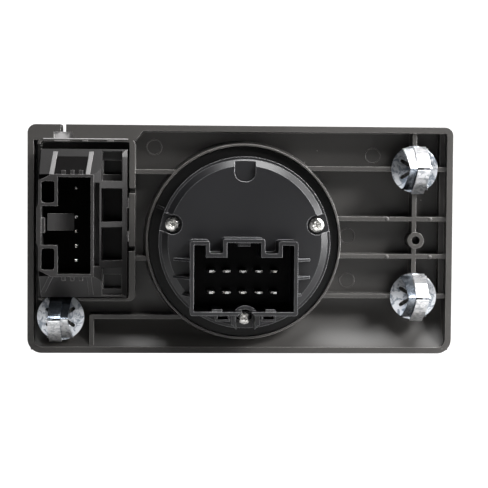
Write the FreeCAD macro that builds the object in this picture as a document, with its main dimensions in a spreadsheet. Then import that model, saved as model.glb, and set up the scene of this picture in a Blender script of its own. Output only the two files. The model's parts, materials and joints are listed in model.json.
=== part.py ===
"""Headlight switch panel: bezel, rotary light switch, dimmer wheel and spring clips.

Frame: the origin is on the knob's axis, in the plane of the bezel's rear rim. +Y points to the rear, at the
wiring side, -Y to the driver, +Z up. Lengths are millimetres and angles degrees.
"""

import FreeCAD, Part
import math
import os

import Sketcher

SIZES = {
    # bezel outline and shell
    "left_margin": 3.7,
    "bezel_right": 79.6,
    "bezel_top": 43.7,
    "bezel_bottom": 42.4,
    "bezel_depth": 12.0,
    "bezel_plate": 2.5,
    "bezel_wall": 2.3,
    "bezel_corner": 5.4,
    "bezel_top_corner": 3.2,
    "bezel_edge": 2.0,
    "sweep_start": 22.0,
    "sweep_rim": 2.0,
    "wall_step": 2.0,
    "wall_step_drop": 5.0,
    # collar round the switch
    "collar_wall": 0.7,
    "collar_draft": 1.3,
    "collar_rise": 1.2,
    "collar_gap": 0.3,
    "collar_shoulder": 4.0,
    # ribs of the bezel
    "rib_wall": 1.6,
    "rib_drop": 1.5,
    "rib_high": 27.8,
    "rib_upper": 8.8,
    "rib_lower": 5.4,
    "rib_low": 20.6,
    "rib_left_high": 26.2,
    "rib_left_low": 6.6,
    "rib_left_column": -2.6,
    "rib_right_column": 65.1,
    # screw boss
    "boss_column": 65.7,
    "boss_height": 0.7,
    "boss_drop": 0.7,
    "boss_radius": 3.1,
    "boss_bore": 1.6,
    "boss_bore_depth": 7.0,
    # retaining clips and their posts
    "clip_left": 9.0,
    "clip_right": 65.0,
    "clip_overlap": 1.1,
    "clip_radius": 8.9,
    "clip_sheet": 0.5,
    "clip_tuck": 0.8,
    "clip_rise": 12.5,
    "clip_foot": 10.6,
    "clip_waist": 8.0,
    "clip_window": 5.2,
    "barb_width": 5.0,
    "barb_offset": 1.8,
    "barb_bow": 0.8,
    "barb_knee": 0.55,
    "ridge_slot": 0.8,
    "tooth_half": 1.3,
    "tooth_circle": 5.4,
    "tooth_angle": 35.0,
    "tab_width": 3.1,
    "seat_radius": 4.4,
    "post_width": 4.4,
    "post_thickness": 2.2,
    "post_rise": 8.0,
    # dimmer box in the bezel
    "dimmer_column": 59.8,
    "dimmer_height": 6.7,
    "dimmer_width": 32.0,
    "dimmer_length": 55.4,
    "dimmer_gap": 0.7,
    "box_wall": 2.2,
    "box_top_gap": 2.9,
    "box_wall_thin": 1.0,
    "box_drop": 4.0,
    "window_corner": 1.2,
    "snap_slot": 2.0,
    "snap_upper": 12.2,
    "snap_lower": 9.6,
    "snap_depth": 8.0,
    "ledge_plate": 2.2,
    "ledge_slope": 3.8,
    "slot_column": 8.0,
    "slot_width": 7.0,
    "slot_height": 2.6,
    "slot_neck": 1.9,
    "slot_relief": 1.0,
    # switch housing
    "flange_drop": 0.6,
    "neck_radius": 30.0,
    "flange_reach": 5.8,
    "neck_wall": 1.6,
    "neck_top": 6.8,
    "board_ledge": 2.5,
    "nose_step": 2.0,
    "nose_gap": 0.3,
    "nose_wall": 1.5,
    "nose_reach": 1.5,
    "housing_floor": 1.8,
    "bearing_radius": 9.0,
    "bearing_wall": 1.8,
    "running_fit": 0.05,
    "lock_rib": 1.0,
    "lock_angle": 158.0,
    # rear cover
    "cover_wall": 1.6,
    "cover_plate": 2.0,
    "cover_top": 11.5,
    "cover_step": 1.0,
    "cover_step_drop": 1.9,
    "cover_bevel": 2.4,
    "cover_fit": 0.3,
    "keyway_width": 7.9,
    "keyway_depth": 1.5,
    "keyway_reach": 22.6,
    "keyway_round": 3.6,
    "pillar_inset": 0.2,
    "screw_recess": 3.7,
    "screw_recess_depth": 2.7,
    "screw_outlet_half": 3.4,
    "screw_head": 2.5,
    "screw_head_height": 1.9,
    "screw_shank": 1.2,
    "screw_length": 9.0,
    "screw_side_angle": 14.0,
    "pillar_radius": 2.2,
    # ten-way socket
    "socket_column": 1.0,
    "socket_half": 19.4,
    "socket_wall": 1.35,
    "socket_rim": 28.0,
    "socket_floor": 10.3,
    "socket_bottom": 25.6,
    "lobe_top": 1.2,
    "lobe_inner": 12.4,
    "lobe_centre": 7.5,
    "lobe_centre_top": 2.05,
    "notch_depth": 4.4,
    "socket_round": 0.9,
    "socket_tongue": 5.2,
    "tongue_wall": 1.0,
    "latch_near": 6.4,
    "latch_far": 10.3,
    "latch_height": 1.3,
    "latch_drop": 0.7,
    "latch_frame": 0.7,
    "shroud_drop": 8.0,
    "low_key_half": 1.8,
    "key_half": 2.2,
    "key_height": 1.3,
    "gusset_wall": 0.9,
    "gusset_rise": 10.0,
    "gusset_length": 6.2,
    "gusset_low_length": 2.8,
    "gusset_first": 6.2,
    "gusset_pitch": 6.5,
    "blade_width": 2.8,
    "blade_sheet": 0.8,
    "blade_pitch": 5.86,
    "blade_row": 7.75,
    "blade_upper": 10.1,
    "blade_tip": 20.0,
    "blade_point": 0.8,
    "blade_fit": 0.15,
    # board and lamps
    "board_level": 1.0,
    "board_sheet": 1.6,
    "lamp_side": 3.0,
    "lamp_height": 1.4,
    "lamp_inset": 0.6,
    # contact rotor
    "rotor_gap": 3.2,
    "rotor_disc": 3.0,
    "rotor_lift": 0.4,
    "rotor_bore": 5.5,
    "detent_notch": 0.6,
    "detent_pitch": 30.0,
    "brush_width": 3.0,
    "brush_sheet": 0.3,
    "brush_length": 9.0,
    "brush_foot": 1.8,
    "brush_bend": 3.1,
    "brush_inset": 6.0,
    "plunger_radius": 1.5,
    "plunger_length": 4.0,
    "plunger_gap": 0.3,
    "guide_wall": 1.4,
    "spring_wire": 0.5,
    "spring_radius": 1.1,
    "spring_width": 1.2,
    # knob
    "knob_radius": 19.4,
    "knob_wall": 1.8,
    "knob_rear": 12.9,
    "knob_face": 19.5,
    "knob_face_plate": 2.2,
    "knob_grip_width": 9.0,
    "knob_grip_top": 31.0,
    "knob_grip_round": 2.5,
    "knob_dish": 1.2,
    "knob_hub": 8.0,
    "knob_grip_taper": 0.8,
    "knob_grip_crown": 12.0,
    "shaft_flat": 4.4,
    "shaft_in_knob": 8.0,
    "ring_wall": 0.8,
    "ring_length": 2.6,
    # dial ring and light guide
    "dial_gap": 1.0,
    "dial_sheet": 1.6,
    "dial_fit": 0.3,
    "guide_reach": 5.2,
    "guide_inset": 1.4,
    "guide_leg": 3.6,
    # dimmer housing
    "shoulder_level": 3.0,
    "slope_top": 11.0,
    "dimmer_rim": 14.0,
    "dimmer_socket_right": 4.1,
    "dimmer_socket_top": 18.2,
    "dimmer_socket_bottom": 19.4,
    "socket_corner": 2.4,
    "socket_corner_run": 4.8,
    "dimmer_socket_wall": 1.0,
    "dimmer_socket_floor": 5.6,
    "dimmer_bulge": 0.8,
    "bulge_half": 6.2,
    "bulge_chamfer": 1.6,
    "side_pocket_width": 4.9,
    "side_pocket_height": 8.0,
    "side_pocket_wall": 1.1,
    "side_pocket_step": 1.5,
    "wedge_near": 3.5,
    "wedge_far": 13.1,
    "wedge_low": 2.6,
    "wedge_high": 3.7,
    "wedge_rise": 4.0,
    "tab_reach": 1.2,
    "tab_low": 3.3,
    "tab_high": 2.2,
    "tab_drop": 0.5,
    "ladder_rail": 0.7,
    "ladder_rung": 2.1,
    "ladder_top": 15.2,
    "ladder_bottom": 15.8,
    "ladder_floor": 5.0,
    "ladder_groove": 1.9,
    "corner_inset": 5.8,
    "corner_recess_depth": 2.2,
    "corner_hole": 6.8,
    "corner_hole_height": 5.4,
    "corner_hole_depth": 7.0,
    "shoulder_rib": 1.6,
    "shoulder_rib_rise": 1.0,
    "shoulder_rib_lean": 1.0,
    "shoulder_rib_left": 10.5,
    "shoulder_rib_right": -2.8,
    "nub_width": 1.3,
    "nub_reach": 1.5,
    "nub_pitch": 3.2,
    "nub_column": 3.8,
    "nub_rise": 1.0,
    "nub_root": 0.5,
    "hook_reach": 0.6,
    "hook_length": 3.7,
    "hook_rise": 4.5,
    "hook_upper": 7.7,
    "hook_lower": -4.9,
    "pin_column": 2.6,
    "pin_top": 13.2,
    "pin_pitch": 5.38,
    "pin_side": 1.0,
    "pin_tip": 10.0,
    "pin_fit": 0.1,
    "pin_point": 0.25,
    "chamber_right": 6.2,
    "chamber_left": 12.0,
    "chamber_length": 41.0,
    "chamber_level": 4.2,
    # dimmer front and wheel
    "front_width": 24.4,
    "front_length": 44.4,
    "front_gap": 0.3,
    "front_sheet": 2.0,
    "front_reach": 0.6,
    "wheel_radius": 9.5,
    "wheel_width": 7.6,
    "wheel_depth": 7.6,
    "wheel_slot_gap": 0.6,
    "wheel_groove": 0.6,
    "wheel_groove_pitch": 15.0,
    "axle_radius": 1.5,
    "ear_wall": 1.6,
    "ear_gap": 0.5,
    "ear_radius": 2.9,
    "dimmer_board_sheet": 1.4,
    "dimmer_board_gap": 0.4,
    "dimmer_board_length": 38.0,
    "pot_width": 3.6,
    "pot_side": 9.0,
    "pot_front": 2.6,
    "leaf_width": 4.0,
    "leaf_sheet": 0.4,
    "leaf_length": 14.0,
    "dimmer_lamp_height": 15.0,
}

SPRING_TURNS = 4
SLACK = 1.0
SMALL = 0.01

document = FreeCAD.newDocument("headlight_switch")
sheet = document.addObject("Spreadsheet::Sheet", "Sizes")


class Size:
    """A length or an angle, known as a number and as a formula on the sheet."""

    def __init__(self, number, formula):
        self.number = number
        self.formula = formula

    def joined(self, other, sign, number):
        return Size(number, f"({self.formula} {sign} {formula_of(other)})")

    def __add__(self, other):
        return self.joined(other, "+", self.number + number_of(other))

    def __sub__(self, other):
        return self.joined(other, "-", self.number - number_of(other))

    def __mul__(self, other):
        return self.joined(other, "*", self.number * number_of(other))

    def __truediv__(self, other):
        return self.joined(other, "/", self.number / number_of(other))

    def __neg__(self):
        return Size(-self.number, f"(0 - {self.formula})")

    def __radd__(self, other):
        return as_size(other) + self

    def __rsub__(self, other):
        return as_size(other) - self

    def __rmul__(self, other):
        return as_size(other) * self


def number_of(item):
    return item.number if isinstance(item, Size) else float(item)


def formula_of(item):
    return item.formula if isinstance(item, Size) else f"{float(item):.6f}"


def as_size(item):
    return item if isinstance(item, Size) else Size(float(item), formula_of(item))


def cosine(angle):
    return Size(math.cos(math.radians(number_of(angle))), f"cos({formula_of(angle)})")


def sine(angle):
    return Size(math.sin(math.radians(number_of(angle))), f"sin({formula_of(angle)})")


class Sheet:
    """The sizes by name, each as a Size that reads its cell."""

    def __init__(self, sizes):
        for row, (name, number) in enumerate(sizes.items(), start=1):
            sheet.set(f"A{row}", name)
            sheet.set(f"B{row}", str(number))
            sheet.setAlias(f"B{row}", name)
            setattr(self, name, Size(number, f"Sizes.{name}"))


size = Sheet(SIZES)
document.recompute()


def bind(item, name, value):
    """Sets a property to a size, tied to the sheet."""
    if "." not in name:
        setattr(item, name, number_of(value))
    if isinstance(value, Size):
        item.setExpression(name, value.formula)


def place(item, x=0.0, y=0.0, z=0.0, turn=None):
    """Puts an item at a point, after an optional turn."""
    point = FreeCAD.Vector(number_of(x), number_of(y), number_of(z))
    item.Placement = FreeCAD.Placement(point, turn or FreeCAD.Rotation())
    for axis, value in (("x", x), ("y", y), ("z", z)):
        bind(item, f"Placement.Base.{axis}", value)


ROLES = {"rear": "XZ_Plane", "side": "YZ_Plane", "level": "XY_Plane"}
pieces = []


def new_body(name):
    """Starts a piece as a body of its own; its label names its file."""
    body = document.addObject("PartDesign::Body", name)
    body.Label = name
    pieces.append(body)
    return body


def sketch_on(body, name, view="rear", level=0.0):
    """A sketch of the body: rear (X, Z) at a Y level, side (Y, Z) at an X, or level (X, Y) at a Z."""
    plane = next(item for item in body.Origin.OriginFeatures if item.Role == ROLES[view])
    sketch = body.newObject("Sketcher::SketchObject", f"{body.Name}_{name}")
    sketch.AttachmentSupport = [(plane, "")]
    sketch.MapMode = "FlatFace"
    offset = -as_size(level) if view == "rear" else as_size(level)
    sketch.AttachmentOffset.Base.z = offset.number
    sketch.setExpression("AttachmentOffset.Base.z", offset.formula)
    return sketch


def arc_between(start, end, radius):
    """The short arc from start to end; a positive radius turns left, a negative one right."""
    across = end - start
    left = FreeCAD.Vector(-across.y, across.x, 0).normalize()
    reach = math.sqrt(max(radius * radius - across.Length**2 / 4, 0.0))
    centre = start + across * 0.5 + left * (reach if radius > 0 else -reach)
    first, last = (start, end) if radius > 0 else (end, start)
    angles = [math.atan2(point.y - centre.y, point.x - centre.x) for point in (first, last)]
    circle = Part.Circle(centre, FreeCAD.Vector(0, 0, 1), abs(radius))
    return Part.ArcOfCircle(circle, *angles)


def constrain(sketch, kind, value, *where):
    """Adds a sized constraint tied to the sheet."""
    index = sketch.addConstraint(Sketcher.Constraint(kind, *where, number_of(value)))
    if isinstance(value, Size):
        sketch.setExpression(f"Constraints[{index}]", value.formula)


def draw(sketch, corners):
    """A closed outline; a corner (x, y, radius) starts an arc, and (x, y) a line."""
    points = [FreeCAD.Vector(number_of(c[0]), number_of(c[1]), 0) for c in corners]
    base = sketch.GeometryCount
    ends = []
    for index, corner in enumerate(corners):
        start, end = points[index], points[(index + 1) % len(points)]
        if len(corner) == 3:
            sketch.addGeometry(arc_between(start, end, number_of(corner[2])), False)
            ends.append((1, 2) if number_of(corner[2]) > 0 else (2, 1))
        else:
            sketch.addGeometry(Part.LineSegment(start, end), False)
            ends.append((1, 2))
    for index, corner in enumerate(corners):
        here, before = base + index, base + (index - 1) % len(corners)
        sketch.addConstraint(Sketcher.Constraint("Coincident", before, ends[index - 1][1], here, ends[index][0]))
        constrain(sketch, "DistanceX", corner[0], here, ends[index][0])
        constrain(sketch, "DistanceY", corner[1], here, ends[index][0])
        if len(corner) == 3:
            radius = as_size(corner[2])
            constrain(sketch, "Radius", radius if radius.number > 0 else -radius, here)
    return sketch


def rounded(corners, *radii):
    """The same square-cornered outline, rounded by one radius or by one for each corner."""
    outline = []
    for index, (x, y) in enumerate(corners):
        radius = radii[index % len(radii)]
        before, after = corners[index - 1], corners[(index + 1) % len(corners)]
        into = heading(before, (x, y))
        away = heading((x, y), after)
        turn = radius if into[0] * away[1] - into[1] * away[0] > 0 else -radius
        outline.append((x - radius * into[0], y - radius * into[1], turn))
        outline.append((x + radius * away[0], y + radius * away[1]))
    return outline


def heading(start, end):
    """The unit step from one corner to the next of a square-cornered outline."""
    dx, dy = (number_of(end[i]) - number_of(start[i]) for i in (0, 1))
    return (math.copysign(1, dx), 0.0) if abs(dx) > abs(dy) else (0.0, math.copysign(1, dy))


def rectangle(x0, x1, y0, y1):
    return [(x0, y0), (x1, y0), (x1, y1), (x0, y1)]


def centred(x, y, width, height):
    return rectangle(x - width / 2, x + width / 2, y - height / 2, y + height / 2)


def circle(sketch, x, y, radius):
    centre = FreeCAD.Vector(number_of(x), number_of(y), 0)
    here = sketch.addGeometry(Part.Circle(centre, FreeCAD.Vector(0, 0, 1), number_of(radius)), False)
    constrain(sketch, "DistanceX", x, here, 3)
    constrain(sketch, "DistanceY", y, here, 3)
    constrain(sketch, "Radius", radius, here)
    return sketch


def feature(body, kind, sketch, length, towards, both=False):
    """A pad or pocket of the sketch, towards +Y, +X or +Z ("plus") or the other way ("minus")."""
    item = body.newObject(f"PartDesign::{kind}", f"{sketch.Name}_{kind.lower()}")
    item.Profile = sketch
    bind(item, "Length", length)
    normal_is_plus = "XZ" not in sketch.AttachmentSupport[0][0].Role
    wanted_plus = towards == "plus"
    natural_plus = normal_is_plus if kind == "Pad" else not normal_is_plus
    item.Reversed = natural_plus != wanted_plus
    if both:
        item.Midplane = True
    sketch.Visibility = False
    return item


def pad(body, sketch, length, towards="plus", both=False):
    return feature(body, "Pad", sketch, length, towards, both)


def pocket(body, sketch, length, towards="minus", both=False):
    return feature(body, "Pocket", sketch, length, towards, both)


def turned(body, sketch, kind="Revolution"):
    """A full turn of the sketch about its own vertical axis."""
    item = body.newObject(f"PartDesign::{kind}", f"{sketch.Name}_turn")
    item.Profile = sketch
    item.ReferenceAxis = (sketch, ["V_Axis"])
    item.Angle = 360.0
    return item


def edges_where(body, test):
    """Names of the edges of the body's last shape that pass the test."""
    document.recompute()
    edges = body.Tip.Shape.Edges
    return [f"Edge{index}" for index, edge in enumerate(edges, start=1) if test(edge)]


def dress(body, kind, name, test, amount):
    """A fillet or a chamfer on the edges that pass the test."""
    names = edges_where(body, test)
    base = body.Tip
    item = body.newObject(f"PartDesign::{kind}", f"{body.Name}_{name}")
    item.Base = (base, names)
    bind(item, "Radius" if kind == "Fillet" else "Size", amount)
    return item


def all_at(edge, axis, value):
    """Whether every end of an edge lies at a coordinate."""
    return all(abs(getattr(vertex.Point, axis) - number_of(value)) < SMALL for vertex in edge.Vertexes)


def box(name, x, y, z):
    """A block between two coordinates along each axis, as a piece of its own."""
    item = document.addObject("Part::Box", name)
    item.Label = name
    for side, (low, high) in zip(("Length", "Width", "Height"), (x, y, z)):
        bind(item, side, high - low)
    place(item, x[0], y[0], z[0])
    return item


plate_rear = size.bezel_plate - size.bezel_depth
rib_top = -size.rib_drop
flange_radius = size.neck_radius + size.flange_reach
collar_inner = flange_radius + size.collar_gap
collar_outer = collar_inner + size.collar_wall
aperture_radius = size.neck_radius + size.nose_step
cover_radius = size.neck_radius + size.cover_fit + size.cover_wall
screw_circle = size.neck_radius - size.pillar_radius - size.pillar_inset
lamp_circle = size.neck_radius - size.neck_wall - size.board_ledge - size.guide_leg / 2 - size.lamp_inset
rotor_radius = lamp_circle - size.guide_leg / 2 - size.rotor_gap
dimmer_right = size.dimmer_column - size.dimmer_width / 2
dimmer_left = size.dimmer_column + size.dimmer_width / 2
dimmer_top = size.dimmer_height + size.dimmer_length / 2
dimmer_bottom = size.dimmer_height - size.dimmer_length / 2
clip_left = size.dimmer_column + size.clip_left
clip_low = dimmer_bottom - size.clip_radius + size.clip_overlap
clip_spots = [
    ("retaining_clip_1", -size.clip_right, size.rib_high, 0.0),
    ("retaining_clip_2", -size.clip_right, -size.rib_low, 0.0),
    ("retaining_clip_3", clip_left, clip_low, 180.0),
]
box_right = dimmer_right - size.dimmer_gap - size.box_wall
box_left = dimmer_left + size.dimmer_gap
box_top = dimmer_top + size.box_top_gap
box_bottom = dimmer_bottom - size.dimmer_gap - size.box_wall_thin
bezel_left = box_left + size.box_wall_thin + size.left_margin
tower_right = size.dimmer_column - size.dimmer_socket_right
tower_left = dimmer_left
tower_top = size.dimmer_height + size.dimmer_socket_top
tower_bottom = size.dimmer_height - size.dimmer_socket_bottom
ladder_high = size.dimmer_height + size.ladder_top
ladder_low = size.dimmer_height - size.ladder_bottom


def bezel_shell(body):
    """The open tray, with its rim, plate and swept lower floor."""
    left, right = bezel_left, -size.bezel_right
    top, bottom = size.bezel_top, -size.bezel_bottom
    outline = sketch_on(body, "outline")
    low_corner, high_corner = size.bezel_corner, size.bezel_top_corner
    draw(outline, rounded(rectangle(right, left, bottom, top), low_corner, low_corner, high_corner, high_corner))
    pad(body, outline, size.bezel_depth, "minus")
    dress(body, "Fillet", "front_edge", lambda edge: all_at(edge, "y", -size.bezel_depth), size.bezel_edge)

    wall = size.bezel_wall
    cavity = sketch_on(body, "cavity")
    inner = rectangle(right + wall, left - wall, bottom + wall, top - wall)
    low_corner, high_corner = low_corner - wall, high_corner - wall
    draw(cavity, rounded(inner, low_corner, low_corner, high_corner, high_corner))
    pocket(body, cavity, size.bezel_depth - size.bezel_plate)
    step = sketch_on(body, "wall_step", "rear", -size.wall_step_drop)
    draw(step, rectangle(right + wall / 2, right + wall + size.wall_step, -size.rib_low, top - wall / 2))
    pad(body, step, size.bezel_depth - size.bezel_plate - size.wall_step_drop + SLACK / 2, "minus")

    start = -size.sweep_start
    foot = bottom + wall
    rise = size.bezel_depth - size.bezel_plate - size.sweep_rim / 2
    run = size.bezel_bottom - wall - size.sweep_start
    floor = sketch_on(body, "sweep", "side", right + wall / 2)
    draw(floor, [
        (plate_rear, start, sweep_radius(rise, run)),
        (-size.sweep_rim / 2, foot),
        (-size.sweep_rim / 2, bottom + wall / 2),
        (-size.bezel_depth, bottom + wall / 2),
        (-size.bezel_depth, start),
    ])
    pad(body, floor, bezel_left + size.bezel_right - wall)


def sweep_radius(rise, run):
    """Radius of the arc that leaves a flat floor smoothly and climbs by rise over run."""
    return (rise * rise + run * run) / (2 * rise)


def bezel_front_cut(body):
    """Takes away what stands in front of the swept lower face."""
    rise, run = size.bezel_depth - size.sweep_rim, size.bezel_bottom - size.sweep_start
    front = sketch_on(body, "front_sweep", "side", -size.bezel_right - SLACK)
    draw(front, [
        (-size.bezel_depth, -size.sweep_start, sweep_radius(rise, run)),
        (-size.sweep_rim, -size.bezel_bottom),
        (-size.sweep_rim, -size.bezel_bottom - SLACK),
        (-size.bezel_depth - SLACK, -size.bezel_bottom - SLACK),
        (-size.bezel_depth - SLACK, -size.sweep_start),
    ])
    pocket(body, front, bezel_left + size.bezel_right + 2 * SLACK, "plus")


def rib_outline(x0, x1, height):
    return rectangle(x0, x1, height - size.rib_wall / 2, height + size.rib_wall / 2)


def bezel_ribs(body):
    """Long ribs from the collar to the walls, and the upright ones that cross them."""
    depth = rib_top - plate_rear + SLACK / 2
    right = -size.bezel_right + size.bezel_wall / 2
    long_ribs = sketch_on(body, "long_ribs", "rear", rib_top)
    for height in (size.rib_high, size.rib_upper, -size.rib_lower, -size.rib_low):
        meets = -collar_chord(height)
        draw(long_ribs, rib_outline(right, meets, height))
    for height in (size.rib_left_high, -size.rib_left_low):
        draw(long_ribs, rib_outline(collar_chord(height), box_right + size.box_wall / 2, height))
    foot, foot_column = clip_low, size.dimmer_column + size.rib_left_column
    draw(long_ribs, rib_outline(collar_chord(foot), foot_column + size.rib_wall / 2, foot))
    pad(body, long_ribs, depth, "minus")

    half = size.rib_wall / 2
    uprights = sketch_on(body, "uprights", "rear", rib_top - SMALL)
    column = -size.rib_right_column
    draw(uprights, rectangle(column - half, column + half, -size.rib_low, size.bezel_top - size.bezel_wall / 2))
    low = -size.bezel_bottom + size.bezel_wall / 2
    draw(uprights, rectangle(foot_column - half, foot_column + half, low, foot))
    pad(body, uprights, depth, "minus")


def collar_chord(height):
    """How far out the middle of the collar's wall is at a height."""
    middle = collar_outer - size.collar_wall / 2
    square = middle * middle - height * height
    return Size(math.sqrt(square.number), f"sqrt({square.formula})")


def bezel_collar(body):
    """The drafted ring wall round the switch, with the shoulder that its flange sits on."""
    outer, inner, core = collar_outer, collar_inner, aperture_radius
    foot, shoulder = plate_rear - SLACK / 2, -size.collar_shoulder
    profile = sketch_on(body, "collar", "level")
    draw(profile, [
        (core, foot), (outer + size.collar_draft, foot), (outer, size.collar_rise), (inner, size.collar_rise),
        (inner, shoulder), (core, shoulder),
    ])
    turned(body, profile)


def bezel_box(body):
    """The walled box of the dimmer, with the two cuts that free its snap arm, and the ledge over it."""
    depth = -plate_rear + SLACK / 2
    wall, thin = size.box_wall, size.box_wall_thin
    walls = sketch_on(body, "box")
    outer = rectangle(box_right, box_left + thin, box_bottom, box_top + thin)
    inner = rectangle(box_right + wall, box_left, box_bottom + thin, box_top)
    draw(walls, rounded(outer, size.box_wall))
    draw(walls, rounded(inner, size.box_wall_thin))
    pad(body, walls, depth, "minus")
    cuts = sketch_on(body, "snap_cuts", "rear", SLACK)
    for height in (size.dimmer_height + size.snap_upper, size.dimmer_height - size.snap_lower):
        draw(cuts, centred(box_right + wall / 2, height, wall + SLACK, size.snap_slot))
    pocket(body, cuts, size.snap_depth + SLACK)
    drop = sketch_on(body, "box_drop", "rear", SLACK)
    draw(drop, centred(box_left + thin / 2, (box_top + box_bottom) / 2, thin + size.dimmer_gap,
                       box_top - box_bottom - 2 * thin))
    pocket(body, drop, size.box_drop + SLACK)
    relief = sketch_on(body, "clip_relief", "rear", SLACK)
    circle(relief, clip_left, clip_low, size.clip_radius + size.clip_tuck)
    pocket(body, relief, SLACK + size.rib_drop + size.clip_tuck)

    left = bezel_left - size.bezel_wall / 2
    top = size.bezel_top - size.bezel_wall / 2
    low = box_top + thin / 2
    ledge = sketch_on(body, "ledge")
    draw(ledge, [(left, low), (left, top), (box_right - size.ledge_slope, top), (box_right, low)])
    pad(body, ledge, size.ledge_plate, "minus")
    brace = sketch_on(body, "brace")
    end = box_right - size.ledge_slope
    draw(brace, [(box_right, low), (box_right + thin, low), (end + thin, top), (end, top)])
    pad(body, brace, depth, "minus")


def bezel_posts(body):
    """A seat and an upright post under each clip, and the screw boss."""
    seat_top = rib_top - 2 * SMALL
    for name, x, z, _ in clip_spots:
        seat = circle(sketch_on(body, f"seat_{name[-1]}", "rear", seat_top), x, z, size.seat_radius)
        pad(body, seat, seat_top - plate_rear, "minus")
        post = sketch_on(body, f"post_{name[-1]}", "rear", size.post_rise)
        draw(post, centred(x, z, size.post_width, size.post_thickness))
        pad(body, post, size.post_rise - plate_rear, "minus")
    boss = sketch_on(body, "boss", "rear", -size.boss_drop)
    circle(boss, -size.boss_column, size.boss_height, size.boss_radius)
    pad(body, boss, -size.boss_drop - plate_rear + SLACK / 2, "minus")


def bezel_holes(body):
    """The round aperture, the dimmer's aperture, the screw bore and the T-shaped slot."""
    aperture = circle(sketch_on(body, "aperture", "rear", -size.collar_shoulder), 0.0, 0.0, aperture_radius)
    pocket(body, aperture, size.bezel_depth - size.collar_shoulder + SLACK)
    window = sketch_on(body, "window", "rear", plate_rear + SLACK)
    wide, tall = size.front_width + 2 * size.front_gap, size.front_length + 2 * size.front_gap
    draw(window, rounded(centred(size.dimmer_column, size.dimmer_height, wide, tall), size.window_corner))
    pocket(body, window, size.bezel_plate + 2 * SLACK)
    bore = circle(sketch_on(body, "boss_bore", "rear", SLACK), -size.boss_column, size.boss_height, size.boss_bore)
    pocket(body, bore, size.boss_bore_depth + SLACK)
    low, middle = box_top + size.box_wall_thin, size.dimmer_column + size.slot_column
    shoulder = low + size.slot_height
    wide = sketch_on(body, "slot", "rear", SLACK)
    draw(wide, centred(middle, low + size.slot_height / 2, size.slot_width, size.slot_height))
    pocket(body, wide, size.slot_relief + SLACK)
    half = size.slot_neck / 2
    neck = sketch_on(body, "slot_neck", "rear", SLACK)
    draw(neck, rectangle(middle - half, middle + half, shoulder - SMALL, size.bezel_top + SLACK))
    pocket(body, neck, size.bezel_depth + 2 * SLACK)


def make_bezel():
    body = new_body("bezel")
    bezel_shell(body)
    bezel_collar(body)
    bezel_ribs(body)
    bezel_box(body)
    bezel_posts(body)
    bezel_front_cut(body)
    bezel_holes(body)


def make_clip(name, x, z, turn):
    """One folded spring-steel sheet: a disc, a bow-tie roof over it and a lanced barb band."""
    body = new_body(name)
    sheet_wall, radius = size.clip_sheet, size.clip_radius
    disc = circle(sketch_on(body, "disc", "rear"), 0.0, 0.0, radius)
    draw(disc, centred(0.0, 0.0, size.clip_window, size.clip_window))
    pad(body, disc, sheet_wall)
    reach = radius - SLACK
    foot, ridge, rim = sheet_wall / 2, size.clip_rise, radius - sheet_wall / 2
    roof = sketch_on(body, "roof", "side", -size.clip_foot / 2)
    half = size.ridge_slot / 2
    draw(roof, [
        (foot, -reach), (ridge, -half), (ridge, half), (foot, reach),
        (foot, reach - sheet_wall), (ridge - 2 * sheet_wall, 0.0), (foot, -reach + sheet_wall),
    ])
    pad(body, roof, size.clip_foot)
    waist = sketch_on(body, "waist", "rear", ridge + SLACK)
    for side in (-1.0, 1.0):
        outer, inner = side * (size.clip_foot / 2 + SLACK), side * size.clip_waist / 2
        ends = side * (size.clip_foot / 2)
        draw(waist, [
            (outer, -reach - SLACK), (ends, -reach - SLACK), (inner, 0.0), (ends, reach + SLACK),
            (outer, reach + SLACK),
        ])
    pocket(body, waist, ridge - 2 * sheet_wall + SLACK)
    lance = sketch_on(body, "barb", "side", -size.barb_offset - size.barb_width / 2)
    bow = size.barb_bow
    knee_rise, knee_out = ridge * size.barb_knee, reach * size.barb_knee
    draw(lance, [
        (foot, -rim), (knee_rise + bow, -knee_out - bow), (ridge + bow, -half), (ridge + bow, half),
        (knee_rise + bow, knee_out + bow), (foot, rim), (foot, rim - sheet_wall),
        (knee_rise, knee_out), (ridge - sheet_wall, 0.0), (knee_rise, -knee_out), (foot, sheet_wall - rim),
    ])
    pad(body, lance, size.barb_width)
    slit = sketch_on(body, "ridge_slot", "rear", ridge + bow + SLACK)
    draw(slit, centred(-size.barb_offset, 0.0, size.barb_width - 2 * sheet_wall, size.ridge_slot))
    pocket(body, slit, bow + SLACK + 3 * sheet_wall)
    teeth = sketch_on(body, "teeth", "rear", sheet_wall + SLACK)
    lean = size.tooth_angle
    near, far, side = size.tooth_circle - size.tooth_half, size.tooth_circle + size.tooth_half, size.tooth_half / 2
    for angle in (lean, 180 - lean, 180 + lean, 360 - lean):
        corners = ((near, 0.0), (far, -side), (far, side))
        draw(teeth, [turned_point(angle, out, across) for out, across in corners])
    pocket(body, teeth, sheet_wall + 2 * SLACK)
    tab = sketch_on(body, "tab", "rear", 0.0)
    draw(tab, centred(radius, 0.0, 2 * sheet_wall + SMALL, size.tab_width))
    pad(body, tab, sheet_wall)
    place(body, x, rib_top, z, FreeCAD.Rotation(FreeCAD.Vector(0, 1, 0), turn))


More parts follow.
